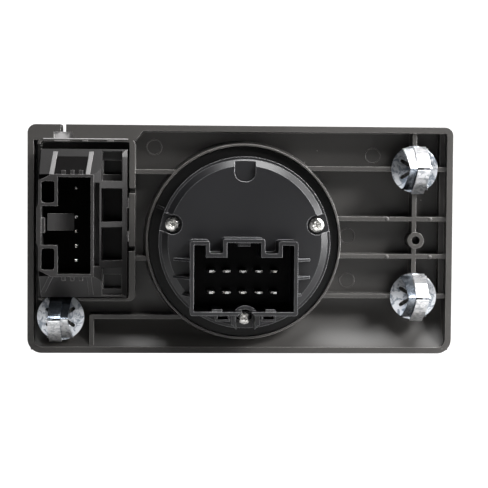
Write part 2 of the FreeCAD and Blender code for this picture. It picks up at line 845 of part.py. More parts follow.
def make_switch_housing():
    """The black can of the switch: flange ring, neck, floor with its bearing, and the nose to the front."""
    body = new_body("switch_housing")
    flange = flange_radius
    top = -size.flange_drop
    neck, inner = size.neck_radius, size.neck_radius - size.neck_wall
    nose = aperture_radius - size.nose_gap
    front = -size.bezel_depth - size.nose_reach
    floor_rear = plate_rear + size.housing_floor
    tube, bore = size.bearing_radius + size.bearing_wall, size.bearing_radius + size.running_fit
    shoulder, ledge = -size.collar_shoulder, inner - size.board_ledge
    can = sketch_on(body, "can", "level")
    draw(can, [
        (bore, -size.bezel_depth), (tube, -size.bezel_depth), (tube, plate_rear),
        (nose - size.nose_wall, plate_rear), (nose - size.nose_wall, front), (nose, front),
        (nose, shoulder), (flange, shoulder), (flange, top), (neck, top), (neck, size.neck_top),
        (inner, size.neck_top), (inner, size.board_level), (ledge, size.board_level), (ledge, floor_rear),
        (bore, floor_rear),
    ])
    turned(body, can)
    pillars = sketch_on(body, "pillars", "rear", size.neck_top)
    holes = []
    for angle in screw_angles():
        spot = (screw_circle * cosine(angle), screw_circle * sine(angle))
        circle(pillars, *spot, size.pillar_radius)
        holes.append(spot)
    pad(body, pillars, size.neck_top - floor_rear + SLACK / 2, "minus")
    bores = sketch_on(body, "pillar_bores", "rear", size.neck_top + SLACK)
    for spot in holes:
        circle(bores, *spot, size.screw_shank + size.running_fit)
    pocket(body, bores, size.screw_length + SLACK)
    guide = sketch_on(body, "guide", "rear", floor_rear + size.rotor_lift + size.rotor_disc)
    reach = rotor_radius + size.plunger_gap + size.plunger_radius / 2
    half = size.plunger_radius + size.guide_wall
    draw(guide, rectangle(-half, half, -inner - size.neck_wall / 2, -reach))
    pad(body, guide, size.rotor_lift + size.rotor_disc + SLACK / 2, "minus")
    channel = sketch_on(body, "channel", "level", -inner)
    circle(channel, 0.0, plunger_level(), size.plunger_radius + size.running_fit)
    pocket(body, channel, inner, "plus")
    windows = sketch_on(body, "windows", "rear", floor_rear + SLACK)
    reach = size.guide_leg / 2 + size.dial_fit
    for angle in lamp_angles():
        draw(windows, turned_block(angle, lamp_circle - reach, lamp_circle + reach, reach))
    pocket(body, windows, size.housing_floor + 2 * SLACK)
    lock = sketch_on(body, "lock_rib", "rear", top)
    inner_end, outer_end = cover_radius + size.cover_fit, flange - SLACK / 2
    draw(lock, turned_block(180 - size.lock_angle, inner_end, outer_end, size.lock_rib / 2))
    pad(body, lock, size.lock_rib)


def turned_point(angle, out, across):
    """A point at a distance out along a direction and across it."""
    return (out * cosine(angle) - across * sine(angle), out * sine(angle) + across * cosine(angle))


def turned_block(angle, near, far, half):
    """A rectangle that runs outwards along a direction, from one distance to another."""
    ends = ((near, -half), (far, -half), (far, half), (near, half))
    return [turned_point(angle, out, across) for out, across in ends]


def screw_angles():
    side = size.screw_side_angle
    return (side, 180 - side, as_size(270.0))


def lamp_angles():
    return (90.0, 200.0, 340.0)


def plunger_level():
    """Height along Y of the detent plunger, at the middle of the rotor's disc."""
    return plate_rear + size.housing_floor + size.rotor_lift + size.rotor_disc / 2


def socket_outline(inset):
    """The keyed outline of the ten-way socket, moved in by an inset."""
    middle, low = size.socket_column, -size.socket_bottom + inset
    side, lobe, centre = size.socket_half - inset, size.lobe_inner + inset, size.lobe_centre - inset
    high, notch = size.lobe_top - inset, size.lobe_top - size.notch_depth - inset
    peak = size.lobe_centre_top - inset
    half = [(side, low), (side, high), (lobe, high), (lobe, notch), (centre, notch), (centre, peak)]
    right = [(middle + x, z) for x, z in half]
    left = [(middle - x, z) for x, z in reversed(half)]
    return rounded(right + left, size.socket_round) if number_of(inset) == 0 else right + left


def blade_spots():
    """Places of the ten blades, in two rows of five."""
    spots = []
    for row in (0, 1):
        for column in (-2, -1, 0, 1, 2):
            x = size.socket_column - column * size.blade_pitch
            spots.append((x, -size.blade_upper - row * size.blade_row))
    return spots


def make_rear_cover():
    """The black cover: stepped and bevelled cap, keyway, three screw recesses and the ten-way socket."""
    body = new_body("rear_cover")
    radius, top = cover_radius, size.cover_top
    inner = size.neck_radius + size.cover_fit
    step = top - size.cover_step_drop
    low = -size.flange_drop + size.cover_fit
    under = top - size.cover_plate
    cap = sketch_on(body, "cap", "level")
    draw(cap, [
        (0.0, under), (inner, under), (inner, low), (radius, low), (radius, step), (radius - size.cover_step, step),
        (radius - size.cover_step - size.cover_bevel, top), (0.0, top),
    ])
    turned(body, cap)
    floor = top - size.screw_recess_depth
    bosses = sketch_on(body, "bosses", "rear", under + SLACK / 2)
    spots = [(screw_circle * cosine(angle), screw_circle * sine(angle)) for angle in screw_angles()]
    for spot in spots:
        circle(bosses, *spot, size.screw_recess + size.cover_step)
    pad(body, bosses, under + SLACK / 2 - size.neck_top, "minus")
    trim = circle(sketch_on(body, "trim", "rear", step), 0.0, 0.0, radius)
    circle(trim, 0.0, 0.0, radius + size.screw_recess)
    pocket(body, trim, step - low)

    tower = sketch_on(body, "tower", "rear", size.socket_rim)
    draw(tower, socket_outline(as_size(0.0)))
    pad(body, tower, size.socket_rim - under - SLACK / 2, "minus")
    fins(body)
    shroud_rim = size.socket_rim - size.shroud_drop
    latch_frames(body, shroud_rim, step)

    hollow = sketch_on(body, "hollow", "rear", size.socket_rim + SLACK)
    draw(hollow, socket_outline(size.socket_wall))
    pocket(body, hollow, size.socket_rim - size.socket_floor + SLACK)
    shroud = circle(sketch_on(body, "shroud", "rear", shroud_rim), 0.0, -screw_circle,
                    size.screw_recess + size.socket_wall)
    pad(body, shroud, shroud_rim - size.socket_floor + SLACK / 2, "minus")
    middle = size.socket_column
    keys = sketch_on(body, "keys", "rear", size.socket_rim - SLACK)
    high = size.lobe_centre_top - size.socket_wall + SLACK / 2
    draw(keys, rectangle(middle - size.key_half, middle + size.key_half, high - size.key_height - SLACK / 2, high))
    low_key = -size.socket_bottom + size.socket_wall - SLACK / 2
    for side in (-1.0, 1.0):
        x = middle + side * (size.lobe_centre + size.key_half)
        draw(keys, rectangle(x - size.low_key_half, x + size.low_key_half, low_key, low_key + size.key_height))
    pad(body, keys, size.socket_rim - SLACK - size.socket_floor + SLACK / 2, "minus")

    for index, (angle, spot) in enumerate(zip(screw_angles(), spots), start=1):
        recess = sketch_on(body, f"recess_{index}", "rear", size.socket_rim + SLACK)
        circle(recess, *spot, size.screw_recess)
        pocket(body, recess, size.socket_rim + SLACK - floor)
        outlet = sketch_on(body, f"outlet_{index}", "rear", size.socket_rim + SLACK)
        far = screw_circle + size.screw_recess + size.socket_wall + SLACK
        draw(outlet, turned_block(angle, screw_circle, far, size.screw_outlet_half))
        pocket(body, outlet, size.socket_rim + SLACK - floor)
    bores = sketch_on(body, "screw_bores", "rear", floor + SLACK)
    for spot in spots:
        circle(bores, *spot, size.screw_shank + size.running_fit)
    pocket(body, bores, floor - size.neck_top + 2 * SLACK)
    keyway = sketch_on(body, "keyway", "rear", top + SLACK)
    wide, rounding = size.keyway_width / 2, size.keyway_round
    draw(keyway, [
        (-wide, cover_radius), (-wide, size.keyway_reach + rounding, rounding),
        (-wide + rounding, size.keyway_reach), (wide - rounding, size.keyway_reach, rounding),
        (wide, size.keyway_reach + rounding), (wide, cover_radius),
    ])
    pocket(body, keyway, size.keyway_depth + SLACK)
    slots = sketch_on(body, "blade_slots", "rear", top + SLACK)
    fit = 2 * size.blade_fit
    for x, z in blade_spots():
        draw(slots, centred(x, z, size.blade_width + fit, size.blade_sheet + fit))
    pocket(body, slots, size.cover_plate + 2 * SLACK)


def latch_frames(body, level, foot):
    """Thin walls beside the lowest screw and the framed latch slots under the socket."""
    wall, low = size.socket_wall / 2 - size.socket_bottom, -size.socket_bottom - size.latch_drop
    frames = sketch_on(body, "latch_frames", "rear", level)
    slots = sketch_on(body, "latch_slots", "rear", level + SLACK)
    end = low - size.latch_height
    for side in (-1.0, 1.0):
        tongue, thin = side * size.socket_tongue, side * (size.socket_tongue - size.tongue_wall)
        draw(frames, rectangle(thin, tongue, -screw_circle - size.pillar_radius, wall))
        near, far = size.latch_near, size.latch_far
        frame = size.latch_frame
        draw(frames, rectangle(side * (near - frame), side * (far + frame), end - frame, wall))
        draw(slots, rectangle(side * near, side * far, end, low))
    pad(body, frames, level - foot, "minus")
    pocket(body, slots, level + SLACK - size.cover_top)


def fins(body):
    """Three pairs of gusset fins that brace the tower on the cover."""
    for index in range(3):
        height = -size.gusset_first - index * size.gusset_pitch
        length = size.gusset_length if index < 2 else size.gusset_low_length
        fin = sketch_on(body, f"fin_{index + 1}", "level", height - size.gusset_wall / 2)
        foot = size.cover_top - SLACK / 2
        for side in (-1.0, 1.0):
            root = size.socket_column + side * (size.socket_half - size.socket_wall / 2)
            tip = size.socket_column + side * (size.socket_half + length)
            draw(fin, [(root, foot), (tip, foot), (root, foot + size.gusset_rise)])
        pad(body, fin, size.gusset_wall)


def make_screws():
    """Three pan-head screws."""
    floor = size.cover_top - size.screw_recess_depth
    for index, angle in enumerate(screw_angles(), start=1):
        body = new_body(f"cover_screw_{index}")
        half, head = size.screw_shank, size.screw_head
        height, tip = size.screw_head_height, SLACK - size.screw_length
        profile = sketch_on(body, "profile", "level")
        draw(profile, [(0.0, tip), (half, tip), (half, 0.0), (head, 0.0), (head, height), (0.0, height)])
        turned(body, profile)
        place(body, screw_circle * cosine(angle), floor, screw_circle * sine(angle))


def make_blades():
    """Ten flat blades with pointed tips, standing on the board."""
    foot = size.board_level + size.board_sheet
    for index, (x, z) in enumerate(blade_spots(), start=1):
        body = new_body(f"contact_blade_{index:02d}")
        half, point = size.blade_width / 2, size.blade_point
        length = size.blade_tip - foot
        outline = sketch_on(body, "outline", "level", -size.blade_sheet / 2)
        draw(outline, [(-half, 0.0), (half, 0.0), (half, length - point), (half - point, length),
                       (point - half, length), (-half, length - point)])
        pad(body, outline, size.blade_sheet)
        place(body, x, foot, z)


def make_board():
    """The round circuit board, cut away round the screw pillars."""
    body = new_body("circuit_board")
    radius = size.neck_radius - size.neck_wall - size.dial_fit
    disc = circle(sketch_on(body, "disc", "rear", size.board_level), 0.0, 0.0, radius)
    pad(body, disc, size.board_sheet)
    notches = sketch_on(body, "notches", "rear", size.board_level - SLACK)
    clear = size.pillar_radius + size.dial_fit
    for angle in screw_angles():
        draw(notches, turned_block(angle, screw_circle - clear, screw_circle + clear, clear))
    pocket(body, notches, size.board_sheet + 2 * SLACK, "plus")
    for index, angle in enumerate(lamp_angles(), start=1):
        x, z = lamp_circle * cosine(angle), lamp_circle * sine(angle)
        half = size.lamp_side / 2
        front = size.board_level - size.lamp_height
        around = ((x - half, x + half), (front, size.board_level), (z - half, z + half))
        pieces.append(box(f"dial_lamp_{index}", *around))


def make_rotor():
    """The contact carrier: hub in the bearing, disc with detent notches, and three contact springs."""
    body = new_body("contact_rotor")
    rear = rotor_rear()
    front = rear - size.rotor_disc
    hub = size.bearing_radius
    profile = sketch_on(body, "profile", "level")
    draw(profile, [
        (0.0, -size.bezel_depth), (hub, -size.bezel_depth), (hub, front), (rotor_radius, front),
        (rotor_radius, rear), (0.0, rear),
    ])
    turned(body, profile)
    bore = sketch_on(body, "bore", "rear", rear + SLACK)
    draw(bore, shaft_section(size.running_fit))
    pocket(body, bore, size.bezel_depth + rear + 2 * SLACK)
    deep, open_end = rotor_radius - size.detent_notch, rotor_radius + size.detent_notch
    notch = sketch_on(body, "notch", "rear", rear + SLACK)
    draw(notch, [(deep, 0.0), (open_end, -2 * size.detent_notch), (open_end, 2 * size.detent_notch)])
    cut = pocket(body, notch, size.rotor_disc + 2 * SLACK)
    pattern = body.newObject("PartDesign::PolarPattern", "detents")
    pattern.Originals = [cut]
    pattern.Axis = (next(item for item in body.Origin.OriginFeatures if item.Role == "Y_Axis"), [""])
    pattern.Angle = 360.0
    pattern.Occurrences = round(pattern.Angle.Value / size.detent_pitch.number)
    body.Tip = pattern
    for index, angle in enumerate((30.0, 150.0, 270.0), start=1):
        make_brush(index, angle, rear)


def rotor_rear():
    return plate_rear + size.housing_floor + size.rotor_lift + size.rotor_disc


def make_brush(index, angle, rear):
    """A bent contact spring: foot on the rotor, raised end just short of the board."""
    body = new_body(f"contact_spring_{index}")
    gap = size.board_level - size.rotor_lift - rear
    half, strip = size.brush_length / 2, size.brush_sheet
    side = sketch_on(body, "side", "side", -size.brush_width / 2)
    draw(side, [
        (0.0, -half), (0.0, -size.brush_foot), (gap - strip, size.brush_bend), (gap - strip, half), (gap, half),
        (gap, size.brush_bend - strip), (strip, -size.brush_foot), (strip, -half),
    ])
    pad(body, side, size.brush_width)
    turn = FreeCAD.Rotation(FreeCAD.Vector(0, 1, 0), -angle)
    out = rotor_radius - size.brush_inset
    place(body, out * cosine(angle), rear, out * sine(angle), turn)


def make_detent():
    """The spring-loaded plunger that clicks on the rotor's rim."""
    tip = -rotor_radius - size.plunger_gap
    body = new_body("detent_plunger")
    profile = sketch_on(body, "profile", "level")
    circle(profile, 0.0, 0.0, size.plunger_radius)
    pad(body, profile, size.plunger_length, "minus")
    place(body, 0.0, plunger_level(), tip)
    length = size.neck_radius - size.neck_wall + tip - size.plunger_length
    coil = new_body("detent_spring")
    turns = sketch_on(coil, "turns", "rear")
    step = length / SPRING_TURNS
    wire = size.spring_wire
    near, far = -size.spring_radius, size.spring_radius - wire
    waves = []
    for index in range(SPRING_TURNS):
        waves += [(near, step * index), (far, step * (index + 1 / 2))]
    waves.append((near, length))
    draw(turns, [(x + wire, z) for x, z in waves] + list(reversed(waves)))
    pad(coil, turns, size.spring_width, both=True)
    place(coil, 0.0, plunger_level(), tip - size.plunger_length - length)


def make_knob():
    """The turning and pulling knob: cup, grip bar, hub, stem and bright trim ring."""
    body = new_body("knob")
    radius, wall = size.knob_radius, size.knob_wall
    rear, face = -size.knob_rear, -size.knob_face
    inside = face + size.knob_face_plate
    seat = radius - size.ring_wall
    cup = sketch_on(body, "cup", "level")
    ring_rear = face + size.ring_length
    draw(cup, [
        (0.0, inside), (0.0, face), (seat, face), (seat, ring_rear), (radius, ring_rear), (radius, rear),
        (radius - wall, rear), (radius - wall, inside),
    ])
    turned(body, cup)
    hub = circle(sketch_on(body, "hub", "rear", inside - SLACK / 2), 0.0, 0.0, size.knob_hub)
    pad(body, hub, size.knob_face - size.knob_face_plate - size.knob_rear - size.dial_fit + SLACK / 2)
    grip = sketch_on(body, "grip", "side", -size.knob_grip_width / 2)
    half = radius - size.ring_wall * 2
    tip = half * size.knob_grip_taper
    end = -size.knob_grip_top + size.knob_dish
    draw(grip, [
        (face + SLACK / 2, -half), (end, -tip, -tip * size.knob_grip_crown), (end, tip), (face + SLACK / 2, half),
    ])
    pad(body, grip, size.knob_grip_width)
    dress(body, "Chamfer", "grip_bevel", grip_edge, size.knob_grip_round)
    socket = sketch_on(body, "socket", "rear", rear + SLACK)
    draw(socket, shaft_section(size.running_fit))
    pocket(body, socket, size.shaft_in_knob + size.dial_fit + SLACK)

    ring = new_body("knob_ring")
    band = sketch_on(ring, "band", "level")
    draw(band, [
        (seat + SMALL, face), (seat + SMALL, ring_rear - SMALL), (radius + size.ring_wall / 2, ring_rear - SMALL),
        (radius, face),
    ])
    turned(ring, band)

    shaft = new_body("knob_shaft")
    end = rotor_rear() + size.rotor_lift
    stem = sketch_on(shaft, "stem", "rear", end)
    draw(stem, shaft_section(as_size(0.0)))
    pad(shaft, stem, end + size.knob_rear + size.shaft_in_knob, "minus")


def grip_edge(edge):
    """The long edges round the top of the grip bar."""
    top = -number_of(size.knob_grip_top - size.knob_dish) + number_of(size.knob_grip_round)
    return all(vertex.Point.y < top for vertex in edge.Vertexes)


def shaft_section(grow):
    """Round stem with two flats, drawn with a gap round it."""
    flat = size.shaft_flat + grow
    radius = size.rotor_bore + grow
    across = radius * radius - flat * flat
    reach = Size(math.sqrt(across.number), f"sqrt({across.formula})")
    return [(reach, -flat, radius), (reach, flat), (-reach, flat, radius), (-reach, -flat)]


def make_dial():
    """The marked ring round the knob and the clear light guide behind it, with its legs to the lamps."""
    outer = aperture_radius - size.nose_gap - size.nose_wall - size.dial_fit
    front = -size.bezel_depth - size.nose_reach + size.dial_fit
    dial = new_body("dial_ring")
    ring = sketch_on(dial, "ring", "level")
    inner = size.knob_radius + size.dial_gap
    draw(ring, rectangle(inner, outer, front, front + size.dial_sheet))
    turned(dial, ring)
    guide = new_body("light_guide")
    rear = front + size.dial_sheet
    disc = sketch_on(guide, "disc", "level")
    draw(disc, rectangle(lamp_circle - size.guide_inset, lamp_circle + size.guide_reach, rear, plate_rear))
    turned(guide, disc)
    legs = sketch_on(guide, "legs", "rear", plate_rear - SLACK / 2)
    half = size.guide_leg / 2
    for angle in lamp_angles():
        draw(legs, turned_block(angle, lamp_circle - half, lamp_circle + half, half))
    reach = size.board_level - size.lamp_height - size.dial_fit
    pad(guide, legs, reach - plate_rear + SLACK / 2)


def dimmer_base(body):
    """Walls, the sloped shoulders and the socket tower of the dimmer."""
    left, right, top, bottom = dimmer_left, dimmer_right, dimmer_top, dimmer_bottom
    foot, ridge = size.shoulder_level, size.slope_top
    over = ridge + SLACK
    walls = sketch_on(body, "walls", "rear", plate_rear)
    draw(walls, rectangle(right, left, bottom, top))
    pad(body, walls, ridge - plate_rear)
    slopes = sketch_on(body, "slopes", "side", right - SLACK)
    draw(slopes, [(foot, top), (ridge, tower_top), (over, tower_top), (over, top + SLACK), (foot, top + SLACK)])
    draw(slopes, [(foot, bottom), (foot, bottom - SLACK), (over, bottom - SLACK), (over, tower_bottom),
                  (ridge, tower_bottom)])
    pocket(body, slopes, size.dimmer_width + 2 * SLACK, "plus")
    side = sketch_on(body, "side_slope", "level", bottom - SLACK)
    outer = right - SLACK
    draw(side, [(right, foot), (tower_right, ridge), (tower_right, over), (outer, over), (outer, foot)])
    pocket(body, side, size.dimmer_length + 2 * SLACK, "plus")
    rim = sketch_on(body, "tower", "rear", size.dimmer_rim)
    run, cut = size.socket_corner_run, size.socket_corner
    draw(rim, [(tower_right, tower_bottom), (tower_left - run, tower_bottom), (tower_left, tower_bottom + cut),
               (tower_left, tower_top - cut), (tower_left - run, tower_top), (tower_right, tower_top)])
    pad(body, rim, size.dimmer_rim - size.slope_top + SLACK / 2, "minus")
    middle = (tower_top + tower_bottom) / 2
    bulge = sketch_on(body, "bulge", "rear", size.dimmer_rim)
    reach = tower_left + size.dimmer_bulge
    half, chamfer = size.bulge_half, size.bulge_chamfer
    root, near, far = tower_left - SLACK / 2, middle - half - chamfer, middle + half + chamfer
    draw(bulge, [(root, near), (tower_left, near), (reach, middle - half), (reach, middle + half), (tower_left, far),
                 (root, far)])
    pad(body, bulge, size.dimmer_rim - size.shoulder_level, "minus")


def dimmer_ribs(body):
    """Leaning ribs on the shoulders and the small nubs at the tower's foot."""
    half, lean = size.shoulder_rib / 2, size.shoulder_rib_lean
    top, low = dimmer_top - SLACK, tower_bottom
    high = tower_top - SLACK / 2
    level = size.slope_top + size.shoulder_rib_rise
    ribs = sketch_on(body, "ribs", "rear", level)
    left, right = size.dimmer_column + size.shoulder_rib_left, size.dimmer_column + size.shoulder_rib_right
    for column in (left, right):
        draw(ribs, [(column - half + lean, high), (column + half + lean, high), (column + half, top),
                    (column - half, top)])
    foot = dimmer_bottom + SLACK
    draw(ribs, [(right - half, foot), (right + half, foot), (right + half + lean / 2, low + SLACK / 2),
                (right - half + lean / 2, low + SLACK / 2)])
    corner = dimmer_left - SLACK
    start = left + half
    draw(ribs, [(start - half, low + SLACK / 2), (corner - half, foot + SLACK), (corner + half, foot + SLACK),
                (start + half, low + SLACK / 2)])
    pad(body, ribs, level - size.shoulder_level, "minus")
    trim = sketch_on(body, "rib_tops", "side", dimmer_right - SLACK)
    rise = size.shoulder_rib_rise
    draw(trim, [(size.shoulder_level + rise, dimmer_top), (level, tower_top),
                (level + SLACK, tower_top), (level + SLACK, dimmer_top)])
    draw(trim, [(size.shoulder_level + rise, dimmer_bottom), (level + SLACK, dimmer_bottom), (level + SLACK, low),
                (level, low)])
    pocket(body, trim, size.dimmer_width + 2 * SLACK, "plus")
    nubs = sketch_on(body, "nubs", "rear", size.dimmer_rim - size.nub_rise)
    for step in (-1.0, 0.0, 1.0):
        x = size.dimmer_column + size.nub_column + step * size.nub_pitch
        sides = (x - size.nub_width / 2, x + size.nub_width / 2)
        draw(nubs, rectangle(*sides, tower_top - size.nub_root, tower_top + size.nub_reach))
        draw(nubs, rectangle(*sides, low - size.nub_reach, low + size.nub_root))
    pad(body, nubs, size.dimmer_rim - size.nub_rise - size.shoulder_level - SLACK, "minus")


def dimmer_hollows(body):
    """Socket with its two side pockets, ladder pockets, groove, corner recesses and the wheel's chamber."""
    wall, rim = size.dimmer_socket_wall, size.dimmer_rim + SLACK
    right, left = tower_right + wall, tower_left - wall
    top, low = tower_top - wall, tower_bottom + wall
    column = left - size.side_pocket_width - size.side_pocket_wall
    tall = size.side_pocket_height + size.side_pocket_step + size.side_pocket_wall
    hollow = sketch_on(body, "hollow", "rear", rim)
    inner = [(right, low), (column, low), (column, low + tall), (left, low + tall), (left, top - tall),
             (column, top - tall), (column, top), (right, top)]
    draw(hollow, inner)
    pocket(body, hollow, rim - size.dimmer_socket_floor)
    pockets = sketch_on(body, "side_pockets", "rear", rim)
    near = column + size.side_pocket_wall
    for edge in (low + size.side_pocket_step, top - size.side_pocket_step - size.side_pocket_height):
        draw(pockets, rounded(rectangle(near, left, edge, edge + size.side_pocket_height), size.side_pocket_wall))
    pocket(body, pockets, rim - size.dimmer_socket_floor - SLACK)
    x, z, floor = size.dimmer_column, size.dimmer_height, size.dimmer_socket_floor
    wedge = sketch_on(body, "wedge", "level", z - size.wedge_low)
    near, far = x + size.wedge_near, x + size.wedge_far
    draw(wedge, [(near, floor - SLACK / 2), (far, floor - SLACK / 2), (far, floor + size.wedge_rise), (near, floor)])
    pad(body, wedge, size.wedge_low + size.wedge_high)
    tab = sketch_on(body, "tab", "rear", size.dimmer_rim - size.tab_drop)
    draw(tab, rectangle(left - size.tab_reach, left + wall / 2, z - size.tab_low, z + size.tab_high))
    pad(body, tab, size.dimmer_rim - size.tab_drop - floor + SLACK / 2, "minus")

    rail, rung = size.ladder_rail, size.ladder_rung
    inside = dimmer_right + rail + size.side_pocket_wall
    outside = tower_right - size.ladder_groove - rail
    ladder = sketch_on(body, "ladder", "rear", rim)
    total = size.ladder_top + size.ladder_bottom
    gap = (total - 3 * rung) / 2
    for index in (0, 1):
        start = ladder_low + rung + index * (gap + rung)
        draw(ladder, rectangle(inside, outside, start, start + gap))
    pocket(body, ladder, rim - size.shoulder_level + size.ladder_floor)
    groove = sketch_on(body, "groove", "rear", rim)
    draw(groove, rectangle(outside + rail, tower_right, ladder_low, ladder_high))
    pocket(body, groove, rim - size.chamber_level - wall)
    corners = sketch_on(body, "corner_recesses", "rear", rim)
    draw(corners, rectangle(inside, outside, ladder_high + rail, dimmer_top - rail))
    draw(corners, rectangle(inside, outside, dimmer_bottom + rail, ladder_low - rail))
    pocket(body, corners, rim - size.shoulder_level + size.corner_recess_depth)
    holes = sketch_on(body, "corner_holes", "rear", size.shoulder_level)
    middle = (inside + outside) / 2
    for height in (ladder_high + size.corner_inset, dimmer_bottom + size.corner_inset):
        draw(holes, centred(middle, height, size.corner_hole, size.corner_hole_height))
    pocket(body, holes, size.corner_hole_depth)

    chamber = sketch_on(body, "chamber", "rear", plate_rear)
    half = size.chamber_length / 2
    middle, height = size.dimmer_column, size.dimmer_height
    draw(chamber, rectangle(middle - size.chamber_right, middle + size.chamber_left, height - half, height + half))
    pocket(body, chamber, size.chamber_level - plate_rear, "plus")
    pins = sketch_on(body, "pin_holes", "rear", size.dimmer_socket_floor + SLACK)
    side = size.pin_side + 2 * size.pin_fit
    for x, z in pin_spots():
        draw(pins, centred(x, z, side, side))
    pocket(body, pins, size.dimmer_socket_floor - size.chamber_level + 2 * SLACK)


def pin_spots():
    """Places of the five pins; the second of the six places is empty."""
    column, top = size.dimmer_column + size.pin_column, size.dimmer_height + size.pin_top
    return [(column, top - step * size.pin_pitch) for step in (0, 2, 3, 4, 5)]


def make_dimmer_housing():
    body = new_body("dimmer_housing")
    dimmer_base(body)
    dimmer_ribs(body)
    dimmer_hollows(body)
    room = 2 * (size.clip_sheet + size.clip_tuck)
    tuck = sketch_on(body, "clip_tuck", "rear", rib_top + room)
    circle(tuck, clip_left, clip_low, size.clip_radius + size.clip_tuck)
    pocket(body, tuck, room + size.clip_tuck)
    hooks = sketch_on(body, "hooks", "rear", size.shoulder_level)
    for height in (size.dimmer_height + size.hook_upper, size.dimmer_height + size.hook_lower):
        draw(hooks, rectangle(dimmer_right - size.hook_reach, dimmer_right + SMALL, height - size.hook_length / 2,
                              height + size.hook_length / 2))
    pad(body, hooks, size.hook_rise, "minus")


def make_dimmer_inside():
    """Board, pins, potentiometer, lamp and detent leaf of the dimmer."""
    x, z = size.dimmer_column, size.dimmer_height
    gap, tall = size.dimmer_board_gap, size.dimmer_board_length / 2
    rear = size.chamber_level
    front = rear - size.dimmer_board_sheet
    sides = (x - size.chamber_right + gap, x + size.chamber_left - gap)
    pieces.append(box("dimmer_board", sides, (front, rear), (z - tall, z + tall)))
    side = size.pin_side / 2
    for index, (pin_x, pin_z) in enumerate(pin_spots(), start=1):
        body = new_body(f"dimmer_pin_{index}")
        profile = sketch_on(body, "profile", "rear", 0.0)
        draw(profile, rectangle(-side, side, -side, side))
        pad(body, profile, size.pin_tip - rear)
        dress(body, "Chamfer", "tip", lambda edge: all_at(edge, "y", size.pin_tip - rear), size.pin_point)
        place(body, pin_x, rear, pin_z)
    leaf = size.leaf_width / 2
    half = size.leaf_length / 2
    pieces.append(box("detent_leaf", (x - leaf, x + leaf), (front - size.leaf_sheet, front), (z - half, z + half)))
    lamp = size.lamp_side / 2
    height = z + size.dimmer_lamp_height
    around = ((x - lamp, x + lamp), (front - size.lamp_height, front), (height - lamp, height + lamp))
    pieces.append(box("dimmer_lamp", *around))
    pot_near = x + size.wheel_width / 2 + 2 * size.ear_gap + size.ear_wall
    pot = new_body("potentiometer")
    block = sketch_on(pot, "block", "side", pot_near)
    depth = -size.wheel_depth
    half = size.pot_side / 2
    draw(block, rounded(rectangle(depth - size.pot_front, front, z - half, z + half), size.axle_radius))
    pad(pot, block, size.pot_width)
    bore = circle(sketch_on(pot, "bore", "side", pot_near - SLACK), depth, z, size.axle_radius + size.running_fit)
    pocket(pot, bore, size.pot_width + 2 * SLACK, "plus")


def make_dimmer_front():
    """The insert that fills the bezel's window, with the wheel's slot and two bearing ears."""
    body = new_body("dimmer_front")
    x, z = size.dimmer_column, size.dimmer_height
    rear = plate_rear
    front = -size.bezel_depth - size.front_reach
    frame = sketch_on(body, "frame", "rear", front)
    draw(frame, rounded(centred(x, z, size.front_width, size.front_length), size.window_corner))
    pad(body, frame, rear - front)
    wall = size.box_wall_thin
    back = sketch_on(body, "back", "rear", rear)
    draw(back, centred(x, z, size.front_width - 2 * wall, size.front_length - 2 * wall))
    pocket(body, back, rear - front - size.front_sheet)
    depth, gap = -size.wheel_depth, size.wheel_slot_gap
    inside = front + size.front_sheet - SLACK / 2
    near = size.wheel_width / 2 + size.ear_gap
    for index, low in enumerate((x - near - size.ear_wall, x + near)):
        ear = sketch_on(body, f"ear_{index + 1}", "side", low)
        half = size.ear_radius
        draw(ear, [(inside, z - half), (depth, z - half, half), (depth + half, z, half), (depth, z + half),
                   (inside, z + half)])
        pad(body, ear, size.ear_wall)
    slot = sketch_on(body, "slot", "rear", rear + SLACK)
    draw(slot, centred(x, z, size.wheel_width + 2 * gap, 2 * size.wheel_radius + 2 * gap))
    pocket(body, slot, rear - front + 2 * SLACK)
    bore = circle(sketch_on(body, "bore", "side", x - near - size.ear_wall - SLACK), depth, z,
                  size.axle_radius + size.running_fit)
    pocket(body, bore, 2 * (near + size.ear_wall + SLACK), "plus")


def make_wheel():
    """The grooved thumbwheel on its axle."""
    x, z, depth = size.dimmer_column, size.dimmer_height, -size.wheel_depth
    wheel = new_body("thumbwheel")
    half, radius = size.wheel_width / 2, size.wheel_radius
    disc = sketch_on(wheel, "disc", "side", -half)
    circle(disc, 0.0, 0.0, radius)
    circle(disc, 0.0, 0.0, size.axle_radius + SMALL)
    pad(wheel, disc, size.wheel_width)
    groove, deep = sketch_on(wheel, "groove", "side", -half - SLACK), size.wheel_groove
    draw(groove, [(radius - deep, 0.0), (radius + deep, -2 * deep), (radius + deep, 2 * deep)])
    cut = pocket(wheel, groove, size.wheel_width + 2 * SLACK, "plus")
    pattern = wheel.newObject("PartDesign::PolarPattern", "grooves")
    pattern.Originals = [cut]
    pattern.Axis = (next(item for item in wheel.Origin.OriginFeatures if item.Role == "X_Axis"), [""])
    pattern.Angle = 360.0
    pattern.Occurrences = round(pattern.Angle.Value / size.wheel_groove_pitch.number)
    wheel.Tip = pattern
    place(wheel, x, depth, z)
    axle = document.addObject("Part::Cylinder", "wheel_axle")
    axle.Label = "wheel_axle"
    bind(axle, "Radius", size.axle_radius)
    reach = half + size.ear_gap + size.ear_wall
    bind(axle, "Height", 2 * reach + size.pot_width)
    place(axle, x - reach, depth, z, FreeCAD.Rotation(FreeCAD.Vector(0, 1, 0), 90))
    pieces.append(axle)


